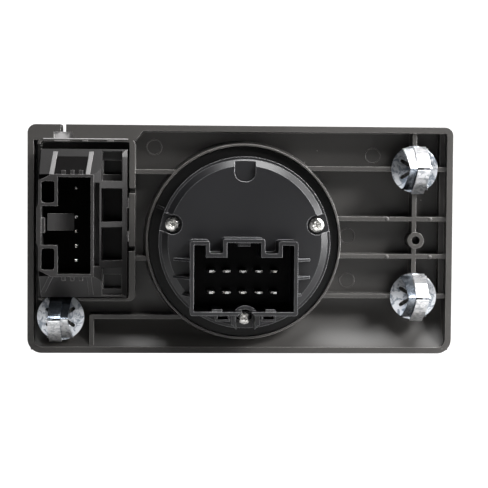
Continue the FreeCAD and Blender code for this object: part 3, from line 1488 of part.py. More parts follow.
def check_and_write():
    """Recomputes, checks every object and shape, and writes one file for each piece."""
    document.recompute()
    failed = [item.Name for item in document.Objects if {"Invalid", "Error"} & set(item.State)]
    if failed:
        raise RuntimeError(f"not built: {failed}")
    os.makedirs("parts", exist_ok=True)
    for piece in pieces:
        shape = piece.Shape
        if shape.isNull() or not shape.isValid() or not shape.Solids:
            raise RuntimeError(f"bad shape: {piece.Label}")
        shape.exportStep(os.path.join("parts", f"{piece.Label}.step"))


make_bezel()
for spot in clip_spots:
    make_clip(*spot)
make_switch_housing()
make_rear_cover()
make_screws()
make_blades()
make_board()
make_rotor()
make_detent()
make_knob()
make_dial()
make_dimmer_housing()
make_dimmer_inside()
make_dimmer_front()
make_wheel()
check_and_write()
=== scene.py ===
"""A vehicle headlight switch panel, dressed and lit, seen from its wiring side.

Meshes are in metres in the panel's own frame: the origin is on the knob's axis in the plane of the bezel's
rear rim, +Y points to the wiring side and +Z up. Sizes are written in millimetres.
"""

import json
import logging
import math
from collections.abc import Callable
from dataclasses import dataclass, field
from enum import Enum

import bmesh
import bpy
import numpy as np
from mathutils import Matrix, Vector

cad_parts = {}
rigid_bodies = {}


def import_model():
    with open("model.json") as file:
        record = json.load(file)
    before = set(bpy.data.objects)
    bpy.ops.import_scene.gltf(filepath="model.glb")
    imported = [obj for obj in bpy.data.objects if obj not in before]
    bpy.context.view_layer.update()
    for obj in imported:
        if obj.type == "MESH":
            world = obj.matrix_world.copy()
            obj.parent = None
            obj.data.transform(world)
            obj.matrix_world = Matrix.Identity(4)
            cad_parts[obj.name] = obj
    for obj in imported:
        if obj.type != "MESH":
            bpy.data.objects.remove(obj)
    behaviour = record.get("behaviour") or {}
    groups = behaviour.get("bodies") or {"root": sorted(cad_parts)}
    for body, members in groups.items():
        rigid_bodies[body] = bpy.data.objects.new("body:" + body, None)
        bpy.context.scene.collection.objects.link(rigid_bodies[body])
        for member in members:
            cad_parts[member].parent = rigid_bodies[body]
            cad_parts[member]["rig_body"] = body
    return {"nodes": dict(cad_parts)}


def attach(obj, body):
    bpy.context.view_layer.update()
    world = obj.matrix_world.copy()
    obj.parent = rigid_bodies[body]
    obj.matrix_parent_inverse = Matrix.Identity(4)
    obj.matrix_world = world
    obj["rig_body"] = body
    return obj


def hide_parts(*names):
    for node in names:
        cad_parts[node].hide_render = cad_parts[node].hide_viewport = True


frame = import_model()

LOG = logging.getLogger("headlight_switch")
MM = 0.001
PHOTO_SIDE = 488
SCREW_CIRCLE = 27.6
CREASE = 32.0
SHEET_CREASE = 40.0
SCREW_CREASE = 50.0
GRAIN_RANGE = (0.82, 1.20)
# Painted shade keeps this share of a plastic's tint, and a painted highlight turns faces this pale grey.
PAINTED_SHADE_SHARE = 0.12
HIGHLIGHT_GREY = (0.42, 0.41, 0.41)
DUST_GREY = (0.45, 0.44, 0.42)
BUMP_HEIGHT = 0.1 * MM
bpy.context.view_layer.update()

Socket = bpy.types.NodeSocket
Colour = tuple[float, float, float]
Point = tuple[float, float, float]
Shell = tuple[np.ndarray, np.ndarray]
Cuts = tuple[tuple[int, float], ...]
PaintedLight = Callable[[np.ndarray, np.ndarray], tuple[np.ndarray, np.ndarray]]
Edge = Callable[[np.ndarray], np.ndarray]


class Body(Enum):
    """The bodies that the new pieces ride on."""

    PANEL = "panel"
    KNOB = "pull_knob"


class NodeTree:
    """A small helper that adds shader nodes and joins them."""

    def __init__(self, tree: bpy.types.NodeTree) -> None:
        """Keeps the tree that the nodes are added to."""
        self.tree = tree

    def add(self, kind: str, **values: object) -> bpy.types.Node:
        """Adds one node and sets its properties and inputs.

        Args:
            kind: the node's type without its ShaderNode prefix.
            values: a property by its own name, or an input by its socket's name with underscores for spaces.

        Returns:
            The new node.
        """
        node = self.tree.nodes.new(f"ShaderNode{kind}")
        for name, value in values.items():
            if hasattr(node, name):
                setattr(node, name, value)
            else:
                self.link(value, node.inputs[name.replace("_", " ")])
        return node

    def link(self, source: object, target: Socket) -> None:
        """Joins an output to an input, or sets the input where the source is a plain value.

        Args:
            source: a socket, a number, or a colour without its alpha.
            target: the input.
        """
        if isinstance(source, Socket):
            self.tree.links.new(source, target)
        elif target.type == "RGBA":
            target.default_value = (*source, 1.0)
        else:
            target.default_value = source

    def surface(self, shader: Socket) -> None:
        """Makes a shader the material's surface."""
        self.link(shader, self.add("OutputMaterial").inputs["Surface"])

    def math(self, operation: str, first: object, second: object = 0.0, clamp: bool = False) -> Socket:
        """Works out one operation on two values.

        Args:
            operation: the operation's name.
            first: a socket or a number.
            second: a socket or a number.
            clamp: whether the result is held between 0 and 1.

        Returns:
            The result's socket.
        """
        node = self.tree.nodes.new("ShaderNodeMath")
        node.operation = operation
        node.use_clamp = clamp
        for socket, value in zip(node.inputs, (first, second)):
            self.link(value, socket)
        return node.outputs[0]

    def blend(self, factor: object, low: object, high: object) -> Socket:
        """Mixes two colours.

        Args:
            factor: a socket or a number, 0 for the first colour and 1 for the second.
            low: a socket or a colour.
            high: a socket or a colour.

        Returns:
            The mixed colour's socket.
        """
        node = self.tree.nodes.new("ShaderNodeMix")
        node.data_type = "RGBA"
        for index, value in ((0, factor), (6, low), (7, high)):
            self.link(value, node.inputs[index])
        return node.outputs[2]


def blank_material(name: str) -> tuple[bpy.types.Material, NodeTree]:
    """Starts a material.

    Args:
        name: the material's name.

    Returns:
        The material and its empty node tree.
    """
    material = bpy.data.materials.new(name)
    material.use_nodes = True
    material.node_tree.nodes.clear()
    return material, NodeTree(material.node_tree)


def linked(name: str, data: bpy.types.ID) -> bpy.types.Object:
    """Puts a mesh, lamp or camera into the scene.

    Args:
        name: the object's name.
        data: what the object shows.

    Returns:
        The new object, at the origin.
    """
    item = bpy.data.objects.new(name, data)
    bpy.context.scene.collection.objects.link(item)
    return item


def new_group(name: str, inputs: dict[str, float | None], outputs: tuple[str, ...]) -> bpy.types.NodeTree:
    """Starts a shader group with named sockets.

    Args:
        name: the group's name.
        inputs: each input's name with its default; None makes a vector input.
        outputs: the names of the outputs, each one value.

    Returns:
        The empty group's tree, with its input and output nodes named "in" and "out".
    """
    group = bpy.data.node_groups.new(name, "ShaderNodeTree")
    for label, default in inputs.items():
        kind = "NodeSocketVector" if default is None else "NodeSocketFloat"
        socket = group.interface.new_socket(label, in_out="INPUT", socket_type=kind)
        if default is not None:
            socket.default_value = default
    for label in outputs:
        group.interface.new_socket(label, in_out="OUTPUT", socket_type="NodeSocketFloat")
    group.nodes.new("NodeGroupInput").name = "in"
    group.nodes.new("NodeGroupOutput").name = "out"
    return group


class Effects:
    """The shader groups that several finishes share."""

    def __init__(self) -> None:
        """Builds every group once."""
        self.moulded = self._moulded()
        self.edges = self._edges()
        self.rolled = self._rolled()
        self.dust = self._dust()

    @staticmethod
    def _moulded() -> bpy.types.NodeTree:
        """Spark-eroded mould texture: fine cells over soft noise, and slow flow marks for tone and gloss.

        Returns:
            The group.
        """
        group = new_group("MouldedTexture", {"Vector": None, "Grain": 900.0, "Flow": 30.0},
                          ("Height", "Tone", "Gloss"))
        tree = NodeTree(group)
        source, target = group.nodes["in"], group.nodes["out"]
        place, grain = source.outputs["Vector"], source.outputs["Grain"]
        fine = tree.add("TexNoise", Vector=place, Scale=grain, Detail=3.0)
        cells = tree.add("TexVoronoi", Vector=place, feature="SMOOTH_F1", Scale=grain, Randomness=1.0)
        slow = tree.add("TexNoise", Vector=place, Scale=source.outputs["Flow"], Detail=2.0, Distortion=0.6)
        pits = tree.math("MULTIPLY", cells.outputs["Distance"], 0.6)
        tree.link(tree.math("ADD", fine.outputs["Fac"], pits), target.inputs["Height"])
        tone = tree.math("MULTIPLY", fine.outputs["Fac"], 0.35)
        tone = tree.math("ADD", tone, tree.math("MULTIPLY", slow.outputs["Fac"], 0.65), clamp=True)
        tree.link(tone, target.inputs["Tone"])
        tree.link(slow.outputs["Fac"], target.inputs["Gloss"])
        return group

    @staticmethod
    def _edges() -> bpy.types.NodeTree:
        """Where a rounded normal leaves the flat one, the surface is an edge: one minus their dot product.

        Returns:
            The group.
        """
        group = new_group("EdgeMask", {"Rounded": None, "Strength": 4.0}, ("Mask",))
        tree = NodeTree(group)
        source, target = group.nodes["in"], group.nodes["out"]
        geometry = tree.add("NewGeometry")
        dot = tree.add("VectorMath", operation="DOT_PRODUCT")
        tree.link(source.outputs["Rounded"], dot.inputs[0])
        tree.link(geometry.outputs["Normal"], dot.inputs[1])
        away = tree.math("SUBTRACT", 1.0, dot.outputs["Value"])
        tree.link(tree.math("MULTIPLY", away, source.outputs["Strength"], clamp=True), target.inputs["Mask"])
        return group

    @staticmethod
    def _rolled() -> bpy.types.NodeTree:
        """Rolled sheet: noise drawn out along X, and cloudy bluish stains.

        Returns:
            The group.
        """
        group = new_group("RolledSheet", {"Vector": None, "Streaks": 260.0, "Stains": 130.0},
                          ("Height", "Stain"))
        tree = NodeTree(group)
        source, target = group.nodes["in"], group.nodes["out"]
        place = source.outputs["Vector"]
        drawn = tree.add("Mapping", Vector=place, Scale=(0.12, 1.0, 1.0))
        lines = tree.add("TexNoise", Vector=drawn.outputs["Vector"], Scale=source.outputs["Streaks"],
                         Detail=6.0)
        cloud = tree.add("TexNoise", Vector=place, Scale=source.outputs["Stains"], Detail=5.0,
                         Distortion=1.5)
        tree.link(lines.outputs["Fac"], target.inputs["Height"])
        sharp = tree.add("MapRange", Value=cloud.outputs["Fac"], From_Min=0.46, From_Max=0.60)
        tree.link(sharp.outputs["Result"], target.inputs["Stain"])
        return group

    @staticmethod
    def _dust() -> bpy.types.NodeTree:
        """A few fine specks of dust: small bright cells picked out of a fine pattern.

        Returns:
            The group.
        """
        group = new_group("DustSpecks", {"Vector": None, "Scale": 420.0, "Amount": 0.5}, ("Mask",))
        tree = NodeTree(group)
        source, target = group.nodes["in"], group.nodes["out"]
        cells = tree.add("TexVoronoi", Vector=source.outputs["Vector"], Scale=source.outputs["Scale"])
        near = tree.math("LESS_THAN", cells.outputs["Distance"], 0.10)
        parts = tree.add("SeparateColor", Color=cells.outputs["Color"])
        chosen = tree.math("GREATER_THAN", parts.outputs[0], 0.972)
        mask = tree.math("MULTIPLY", near, chosen)
        tree.link(tree.math("MULTIPLY", mask, source.outputs["Amount"]), target.inputs["Mask"])
        return group


@dataclass(frozen=True)
class Plastic:
    """A moulded plastic: its tint, gloss, mould texture, how far its edges are rounded, and how strongly a
    highlight is painted on them.

    Faces given painted shade, in hollows where shade falls, go near black: their colour falls, and the
    metallic socket takes their reflection down with it. Faces given a painted highlight go pale grey.
    """

    name: str
    tint: Colour
    roughness: float = 0.45
    specular: float = 0.5
    grain: float = 900.0
    depth: float = 0.12
    rounding: float = 0.18
    edge_highlight: float = 0.5
    dust: float = 0.0

    def material(self, effects: Effects) -> bpy.types.Material:
        """Builds the finish.

        Args:
            effects: the shared shader groups.

        Returns:
            The new material.
        """
        material, tree = blank_material(self.name)
        place = tree.add("TexCoord").outputs["Object"]
        mould = tree.add("Group", node_tree=effects.moulded, Vector=place, Grain=self.grain)
        rounded = tree.add("Bevel", samples=6, Radius=self.rounding * MM)
        edge = tree.add("Group", node_tree=effects.edges, Rounded=rounded.outputs["Normal"])
        low, high = (tuple(min(1.0, share * value) for value in self.tint) for share in GRAIN_RANGE)
        colour = tree.blend(mould.outputs["Tone"], low, high)
        # Painted highlight: rounded edges are painted lighter, as if they caught the light, except where
        # painted shade lies.
        highlight_colour = tuple(min(1.0, value + self.edge_highlight * (2.2 * value + 0.05)) for value in self.tint)
        painted_shade = tree.add("Attribute", attribute_name="painted_shade").outputs["Fac"]
        painted_highlight = tree.add("Attribute", attribute_name="painted_highlight").outputs["Fac"]
        highlight_share = tree.math("MULTIPLY", edge.outputs["Mask"], tree.math("SUBTRACT", 1.0, painted_shade, clamp=True))
        colour = tree.blend(highlight_share, colour, highlight_colour)
        # Painted shade turns hollows near black, and a painted highlight turns faces pale grey.
        colour = tree.blend(painted_shade, colour, tuple(PAINTED_SHADE_SHARE * value for value in self.tint))
        colour = tree.blend(painted_highlight, colour, HIGHLIGHT_GREY)
        if self.dust > 0:
            specks = tree.add("Group", node_tree=effects.dust, Vector=place, Amount=self.dust)
            colour = tree.blend(specks.outputs["Mask"], colour, DUST_GREY)
        gloss = tree.add("MapRange", Value=mould.outputs["Gloss"], To_Min=self.roughness - 0.06,
                         To_Max=self.roughness + 0.08)
        bump = tree.add("Bump", Strength=self.depth, Distance=BUMP_HEIGHT, Height=mould.outputs["Height"],
                        Normal=rounded.outputs["Normal"])
        # The painted shade also drives the metallic socket, so the reflection is taken down with the
        # near-black colour.
        shader = tree.add("BsdfPrincipled", Base_Color=colour, Roughness=gloss.outputs["Result"],
                          Metallic=painted_shade, Specular_IOR_Level=self.specular, Normal=bump.outputs["Normal"])
        tree.surface(shader.outputs["BSDF"])
        return material


@dataclass(frozen=True)
class Metal:
    """A metal sheet or part: its colour, the colour of its stains and painted shade, gloss and drawn texture.

    The "tone" attribute carries painted shade: where it nears 1 the colour nears its stains' colour times a
    scale, and loses its satin.
    """

    name: str
    tint: Colour
    stain_and_shade: Colour
    roughness: float = 0.22
    streaks: float = 260.0
    stains: float = 130.0
    depth: float = 0.10
    rounding: float = 0.10
    clouding: float = 1.0
    painted_shade_scale: float = 1.0
    satin: float = 0.0

    def material(self, effects: Effects) -> bpy.types.Material:
        """Builds the finish.

        Args:
            effects: the shared shader groups.

        Returns:
            The new material.
        """
        material, tree = blank_material(self.name)
        place = tree.add("TexCoord").outputs["Object"]
        sheet = tree.add("Group", node_tree=effects.rolled, Vector=place, Streaks=self.streaks,
                         Stains=self.stains)
        rounded = tree.add("Bevel", samples=6, Radius=self.rounding * MM)
        tone = tree.add("Attribute", attribute_name="tone").outputs["Fac"]
        # Painted shade also lets more of the random stains show where the tone is high.
        cloudy = tree.math("ADD", tone, self.clouding)
        cover = tree.math("MULTIPLY", sheet.outputs["Stain"], cloudy, clamp=True)
        # Painted shade: the tone attribute paints the steel darker where it shows dark reflections.
        colour = tree.blend(tone, self.tint, tuple(self.painted_shade_scale * value for value in self.stain_and_shade))
        colour = tree.blend(cover, colour, self.stain_and_shade)
        gloss = tree.add("MapRange", Value=sheet.outputs["Height"], To_Min=self.roughness - 0.08,
                         To_Max=self.roughness + 0.10)
        dull = tree.math("MULTIPLY", tree.math("SUBTRACT", 1.0, tone, clamp=True), self.satin)
        bump = tree.add("Bump", Strength=self.depth, Distance=BUMP_HEIGHT, Height=sheet.outputs["Height"],
                        Normal=rounded.outputs["Normal"])
        rough = tree.math("ADD", gloss.outputs["Result"], dull)
        shader = tree.add("BsdfPrincipled", Base_Color=colour, Metallic=1.0, Roughness=rough,
                          Normal=bump.outputs["Normal"])
        tree.surface(shader.outputs["BSDF"])
        return material


class Look(Enum):
    """Every finish on the panel."""

    # Each plastic's edge factor sets how strongly a highlight is painted on its rounded edges.
    BEZEL = Plastic("BezelPlastic", (0.034, 0.032, 0.030), roughness=0.46, grain=1100.0, depth=0.10,
                    rounding=0.28, edge_highlight=2.2, dust=0.3)
    BLACK = Plastic("HousingBlack", (0.004, 0.004, 0.004), roughness=0.38, specular=0.22, grain=1300.0,
                    depth=0.08, rounding=0.20, edge_highlight=1.0, dust=0.4)
    COVER = Plastic("CoverBlack", (0.009, 0.009, 0.010), roughness=0.34, specular=0.42, grain=1200.0,
                    depth=0.08, rounding=0.24, edge_highlight=6.0, dust=0.2)
    DIMMER = Plastic("DimmerPlastic", (0.016, 0.015, 0.015), roughness=0.38, specular=0.4, grain=1200.0,
                     depth=0.14, rounding=0.15, edge_highlight=5.0)
    KNOB = Plastic("KnobSoftBlack", (0.020, 0.020, 0.021), roughness=0.55, grain=1600.0, depth=0.16,
                   rounding=0.30, edge_highlight=0.4)
    DIAL = Plastic("DialBlack", (0.010, 0.010, 0.011), roughness=0.28, grain=1500.0, depth=0.05,
                   rounding=0.15, edge_highlight=0.3)
    GUIDE = Plastic("LightGuide", (0.72, 0.75, 0.78), roughness=0.20, grain=600.0, depth=0.03,
                    edge_highlight=0.1)
    INNER = Plastic("InnerPlastic", (0.60, 0.57, 0.50), roughness=0.50, grain=1000.0, depth=0.10,
                    edge_highlight=0.2)
    BOARD = Plastic("BoardLaminate", (0.03, 0.12, 0.05), roughness=0.35, grain=500.0, depth=0.10,
                    edge_highlight=0.3)
    LAMP = Plastic("LampResin", (0.85, 0.78, 0.50), roughness=0.30, grain=800.0, depth=0.05,
                   edge_highlight=0.1)
    MARK = Plastic("PrintedWhite", (0.80, 0.80, 0.78), roughness=0.50, grain=1500.0, depth=0.05,
                   rounding=0.02, edge_highlight=0.0)
    # The spring steel's bluish second colour serves both for its stains and for its painted shade.
    SPRING = Metal("SpringSteel", (0.90, 0.90, 0.91), (0.17, 0.20, 0.24), roughness=0.18, stains=420.0,
                   clouding=0.45, painted_shade_scale=1.4, satin=0.22)
    SCREW = Metal("ScrewZinc", (0.80, 0.79, 0.76), (0.50, 0.49, 0.47), roughness=0.26, streaks=900.0,
                  stains=500.0)
    CONTACT = Metal("ContactTin", (0.84, 0.84, 0.83), (0.62, 0.60, 0.56), roughness=0.24, streaks=700.0,
                    rounding=0.04)
    TRIM = Metal("TrimChrome", (0.80, 0.80, 0.82), (0.74, 0.75, 0.78), roughness=0.12, depth=0.02)


class Wardrobe:
    """Hands out each finish's material, made once."""

    def __init__(self) -> None:
        """Builds the shared groups and every material."""
        self.effects = Effects()
        self.made = {look: look.value.material(self.effects) for look in Look}

    def wear(self, item: bpy.types.Object, look: Look) -> None:
        """Gives an object one finish on every face.

        Args:
            item: the object.
            look: the finish.
        """
        slots = item.data.materials
        if slots:
            for index in range(len(slots)):
                slots[index] = self.made[look]
        else:
            slots.append(self.made[look])


def refined(node: str, name: str, cuts: Cuts = ()) -> bpy.types.Object:
    """A smooth-shaded copy of a CAD node with its coplanar triangles joined.

    Args:
        node: the CAD node that the piece stands for.
        name: the piece's name.
        cuts: planes that split its faces where the painted shade changes, each an axis and a place in
            millimetres.

    Returns:
        The piece, riding on its node's body in its place.
    """
    source = frame["nodes"][node]
    mesh = source.data.copy()
    mesh.name = name
    model = bmesh.new()
    model.from_mesh(mesh)
    bmesh.ops.remove_doubles(model, verts=model.verts, dist=2e-6)
    bmesh.ops.dissolve_limit(model, angle_limit=math.radians(0.6), verts=model.verts, edges=model.edges)
    for axis, place in cuts:
        across = Vector([float(axis == index) for index in range(3)])
        bmesh.ops.bisect_plane(model, geom=[*model.verts, *model.edges, *model.faces],
                               plane_co=across * place * MM, plane_no=across)
    model.to_mesh(mesh)
    model.free()
    for left_over in ("custom_normal", "sharp_edge", "sharp_face"):
        if left_over in mesh.attributes:
            mesh.attributes.remove(mesh.attributes[left_over])
    mesh.shade_smooth()
    mesh.set_sharp_from_angle(angle=math.radians(CREASE))
    piece = linked(name, mesh)
    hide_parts(node)
    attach(piece, source["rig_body"])
    return piece


def boxed(points: np.ndarray, low: Point, high: Point) -> np.ndarray:
    """1 for each point between two corners and 0 for the others."""
    return np.all((points > low) & (points < high), axis=1).astype(np.float32)


def switch_painted_shade(middle: np.ndarray, normal: np.ndarray) -> tuple[np.ndarray, np.ndarray]:
    """The ten-way socket's inside gets painted shade, apart from its rim.

    Args:
        middle: the faces' middles in millimetres.
        normal: the faces' normals.

    Returns:
        How much painted shade and painted highlight each face gets.
    """
    inside = boxed(middle, (-17.4, 8.0, -24.6), (19.4, 27.4, 1.9))
    inside *= (middle[:, 1] < 18.0) | (normal[:, 1] < 0.5)
    return 0.9 * inside, np.zeros_like(inside)


def bezel_painted_highlight(middle: np.ndarray, normal: np.ndarray) -> tuple[np.ndarray, np.ndarray]:
    """The floor of the ledge's T-slot gets a painted highlight, pale grey where light shows in the slot.

    Args:
        middle: the faces' middles in millimetres.
        normal: the faces' normals.

    Returns:
        How much painted shade and painted highlight each face gets.
    """
    floor = boxed(middle, (64.0, -1.4, 38.0), (71.6, -0.6, 42.0)) * (normal[:, 1] > 0.9)
    return np.zeros_like(floor), 0.8 * floor


def dimmer_painted_light(middle: np.ndarray, normal: np.ndarray) -> tuple[np.ndarray, np.ndarray]:
    """The socket, side pockets, ladder cells and upper shoulder get painted shade, and the leaning ribs a
    painted highlight.

    A shoulder is the plane d = 0.765 (y - 3) + 0.645 (|z - 6.7| - 27.7) = 0, and the ribs rise from it.

    Args:
        middle: the faces' middles in millimetres.
        normal: the faces' normals.

    Returns:
        How much painted shade and painted highlight each face gets.
    """
    x, y, z = middle.T
    well = boxed(middle, (56.2, -16.0, -12.2), (75.6, 16.6, 24.4))
    wedge = boxed(middle, (62.9, 5.75, 3.7), (73.2, 20.0, 10.8))
    cells = boxed(middle, (45.0, -10.0, -12.0), (53.4, 15.0, 25.4))
    latch = boxed(middle, (72.8, 8.0, 3.7), (76.0, 20.0, 10.8))
    rim = (y >= 13.8) & (normal[:, 1] >= 0.9)
    painted_shade = np.maximum(well * (1.0 - 0.75 * wedge), 0.7 * cells)
    painted_shade *= ~rim
    painted_shade *= 1.0 - latch
    away = 0.765 * (y - 3.0) + 0.645 * (np.abs(z - 6.7) - 27.7)
    slanted = (normal[:, 1] > 0.4) & (np.abs(normal[:, 2]) > 0.35) & (z > 20.0)
    between_ribs = (np.abs(x - 63.6) < 6.6) & (z < 31.6)
    shoulder = (slanted & (away < 0.4) & (y < 12.5)) * np.where(between_ribs, 1.0, 0.8)
    rib = slanted & (away > 0.4) & (y < 13.0)
    return np.maximum(painted_shade, shoulder), 0.15 * rib.astype(np.float32)


def write_painted_light(piece: bpy.types.Object, painted_light: PaintedLight) -> None:
    """Writes how much painted shade and painted highlight each face gets, from its middle in millimetres and
    its normal.

    Args:
        piece: the piece.
        painted_light: gives the two values of every face.
    """
    faces = piece.data.polygons
    middle, normal = np.empty(3 * len(faces)), np.empty(3 * len(faces))
    faces.foreach_get("center", middle)
    faces.foreach_get("normal", normal)
    values = painted_light(middle.reshape(-1, 3) / MM, normal.reshape(-1, 3))
    for name, value in zip(("painted_shade", "painted_highlight"), values):
        layer = piece.data.attributes.new(name, "FLOAT", "FACE")
        layer.data.foreach_set("value", value.astype(np.float32))


@dataclass
class Module:
    """A sub-assembly: the CAD nodes it has, each with the finish it wears."""

    wardrobe: Wardrobe
    name: str
    looks: dict[str, Look]
    smooth: tuple[str, ...] = ()
    painted_light: dict[str, PaintedLight] = field(default_factory=dict)
    cuts: Cuts = ()

    def dress(self) -> None:
        """Dresses every node, as a smooth copy where the module asks for one."""
        for node, look in self.looks.items():
            if node in self.smooth:
                piece = refined(node, f"{node}_body", cuts=self.cuts if node in self.painted_light else ())
                # Painted shade and painted highlight go on the faces of the nodes that have rules for them.
                if node in self.painted_light:
                    write_painted_light(piece, self.painted_light[node])
            else:
                piece = frame["nodes"][node]
            self.wardrobe.wear(piece, look)
            LOG.info("%s: %s wears %s", self.name, node, look.name)


def shell(middle: np.ndarray, thickness: float, closed: bool = False) -> Shell:
    """A sheet of one thickness round a curved middle surface.

    With P(i, j) the middle and n(i, j) the unit cross product of its two derivatives, the faces lie at
    P + n t / 2 and P - n t / 2, joined by a strip along each free border.

    Args:
        middle: the middle surface's points, an array (rows, columns, 3).
        thickness: the sheet's thickness.
        closed: whether the last column joins the first.

    Returns:
        The points and the quads.
    """
    rows, columns = middle.shape[:2]
    down = np.gradient(middle, axis=0)
    if closed:
        across = np.roll(middle, -1, axis=1) - np.roll(middle, 1, axis=1)
    else:
        across = np.gradient(middle, axis=1)
    normal = np.cross(down, across)
    normal /= np.linalg.norm(normal, axis=2, keepdims=True)
    half = normal * thickness / 2
    points = np.concatenate((middle + half, middle - half)).reshape(-1, 3)
    index = np.arange(rows * columns).reshape(rows, columns)
    wide = np.concatenate((index, index[:, :1]), axis=1) if closed else index
    face = np.stack((wide[:-1, :-1], wide[1:, :-1], wide[1:, 1:], wide[:-1, 1:]), -1).reshape(-1, 4)
    quads = [face, face[:, ::-1] + rows * columns]
    borders = [wide[0], wide[-1][::-1]]
    if not closed:
        borders += [wide[::-1, 0], wide[:, -1]]
    for border in borders:
        start, end = border[:-1], border[1:]
        quads.append(np.stack((start, end, end + rows * columns, start + rows * columns), -1))
    return points, np.concatenate(quads)


def piece_of(name: str, shells: list[Shell], painted_shades: list[tuple[float, float]] | None = None,
             split: float = 0.0) -> bpy.types.Object:
    """One object made of closed shells, each vertex with its shell's tone, a painted shade.

    Args:
        name: the piece's name.
        shells: each shell's points in metres and its quads.
        painted_shades: each shell's values for the "tone" attribute, above and below the split, or None for
            0.
        split: the height in metres at which a shell's tone changes.

    Returns:
        The piece, smooth-shaded.
    """
    points = np.concatenate([part[0] for part in shells])
    starts = np.cumsum([0] + [len(part[0]) for part in shells[:-1]])
    quads = np.concatenate([part[1] + start for part, start in zip(shells, starts)])
    mesh = bpy.data.meshes.new(name)
    mesh.from_pydata(points.tolist(), [], quads.tolist())
    # The tone attribute is painted shade, one value above the split and one below.
    if painted_shades:
        high, low = np.repeat(painted_shades, [len(part[0]) for part in shells], axis=0).T
        tone = mesh.attributes.new("tone", "FLOAT", "POINT")
        tone.data.foreach_set("value", np.where(points[:, 2] > split, high, low).astype(np.float32))
    mesh.shade_smooth()
    mesh.set_sharp_from_angle(angle=math.radians(SHEET_CREASE))
    LOG.info("%s made of %d shells", name, len(shells))
    return linked(name, mesh)


def bead(path: np.ndarray, width: float, rise: float) -> Shell:
    """A rounded bead along a path in the panel's plane.

    Its section is w cos(a) / 2 across the path and h sin(a) out of the plane, with a from 0 to pi.

    Args:
        path: the bead's foot, an array (n, 3) in millimetres.
        width: the bead's width w.
        rise: the bead's height h.

    Returns:
        The points in metres and the quads.
    """
    ahead = np.gradient(path, axis=0)
    across = np.stack((-ahead[:, 2], np.zeros(len(path)), ahead[:, 0]), -1)
    across /= np.linalg.norm(across, axis=1, keepdims=True)
    angle = np.linspace(0.0, math.pi, 9)
    out = np.array((0.0, 1.0, 0.0))
    sideways = across * np.cos(angle)[:, None, None] * width / 2
    middle = path + sideways + out * (np.sin(angle) * rise)[:, None, None]
    return shell(middle[::-1] * MM, 0.1 * MM)


def ring(place: Point, inner: float, outer: float, rise: float) -> Shell:
    """A domed ring flat on a wall: its height is h (1 - ((r - m) / b)^2).

    m is its middle radius, or 0 for a full dome, and b the way from there to its outer radius.

    Args:
        place: its middle on the wall, in millimetres.
        inner: the inner radius.
        outer: the outer radius.
        rise: the height h.

    Returns:
        The points in metres and the quads.
    """
    x, y, z = place
    centre = 0.5 * (inner + outer) if inner > 0.1 else 0.0
    angle = np.linspace(0.0, 2.0 * math.pi, 36, endpoint=False)
    radius = np.linspace(inner, outer, 9)[:, None]
    lift = rise * (1.0 - ((radius - centre) / (outer - centre)) ** 2)
    points = np.stack((x + radius * np.cos(angle), y + lift + 0.0 * angle, z + radius * np.sin(angle)), -1)
    return shell(points[:, ::-1] * MM, 0.06 * MM, True)


@dataclass
class MouldMarks:
    """The tray's small marks; lengths in millimetres.

    A bead runs under the ledge, blocks stand on the dimmer box's wall, bumps on two ribs and ejector rings on
    the tray's floor.
    """

    wardrobe: Wardrobe
    wall_level: float = 0.05
    bead_run: tuple[float, float] = (43.6, 75.4)
    bead_height: float = 38.2
    block_runs: tuple[tuple[float, float], ...] = ((49.0, 51.6), (58.6, 60.8), (65.6, 71.2))
    block_height: float = 37.5
    rib_level: float = -1.48
    bump_columns: tuple[float, ...] = (-54.8, -71.3)
    bump_heights: tuple[float, ...] = (8.8, -5.6)
    floor_level: float = -9.47
    ejectors: tuple[tuple[float, float], ...] = ((-40.5, 2.0), (-40.5, -15.2), (34.0, 35.6), (-50.0, 33.0))

    def build(self) -> None:
        """Makes every mark in one piece and dresses it, each kind with its own painted highlight."""
        shells = [self._rail(self.bead_run, self.bead_height, 24, 0.45, 0.35)]
        shells += [self._rail(run, self.block_height, 8, 0.6, 0.25) for run in self.block_runs]
        shells += [ring((x, self.rib_level, z), 0.02, 0.75, 0.25)
                   for x in self.bump_columns for z in self.bump_heights]
        shells += [ring((x, self.floor_level, z), 2.6, 3.1, 0.05) for x, z in self.ejectors]
        piece = piece_of("mould_marks", shells)
        # Painted highlight: the bead and blocks are painted pale, the bumps barely, the ejector rings not at
        # all.
        layer = piece.data.attributes.new("painted_highlight", "FLOAT", "POINT")
        highlight_share = np.repeat([0.4] + [0.15] * 3 + [0.02] * 4 + [0.0] * 4, [len(part[0]) for part in shells])
        layer.data.foreach_set("value", highlight_share.astype(np.float32))
        self.wardrobe.wear(piece, Look.BEZEL)
        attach(piece, Body.PANEL.value)

    def _rail(self, run: tuple[float, float], height: float, steps: int, width: float, rise: float) -> Shell:
        """A level bead on the wall.

        Args:
            run: its two ends along X.
            height: its place up the wall.
            steps: how many points its path has.
            width: its width.
            rise: its height out of the wall.

        Returns:
            The points in metres and the quads.
        """
        ends = [(x, self.wall_level, height) for x in run]
        return bead(np.linspace(*ends, steps), width, rise)


def smooth_step(low: float, high: float, value: np.ndarray) -> np.ndarray:
    """Rises from 0 at low to 1 at high as 3 t^2 - 2 t^3.

    Args:
        low: where the rise starts.
        high: where the rise ends, which may be below low.
        value: the places.

    Returns:
        The share at each place.
    """
    share = np.clip((value - low) / (high - low), 0.0, 1.0)
    return share * share * (3.0 - 2.0 * share)


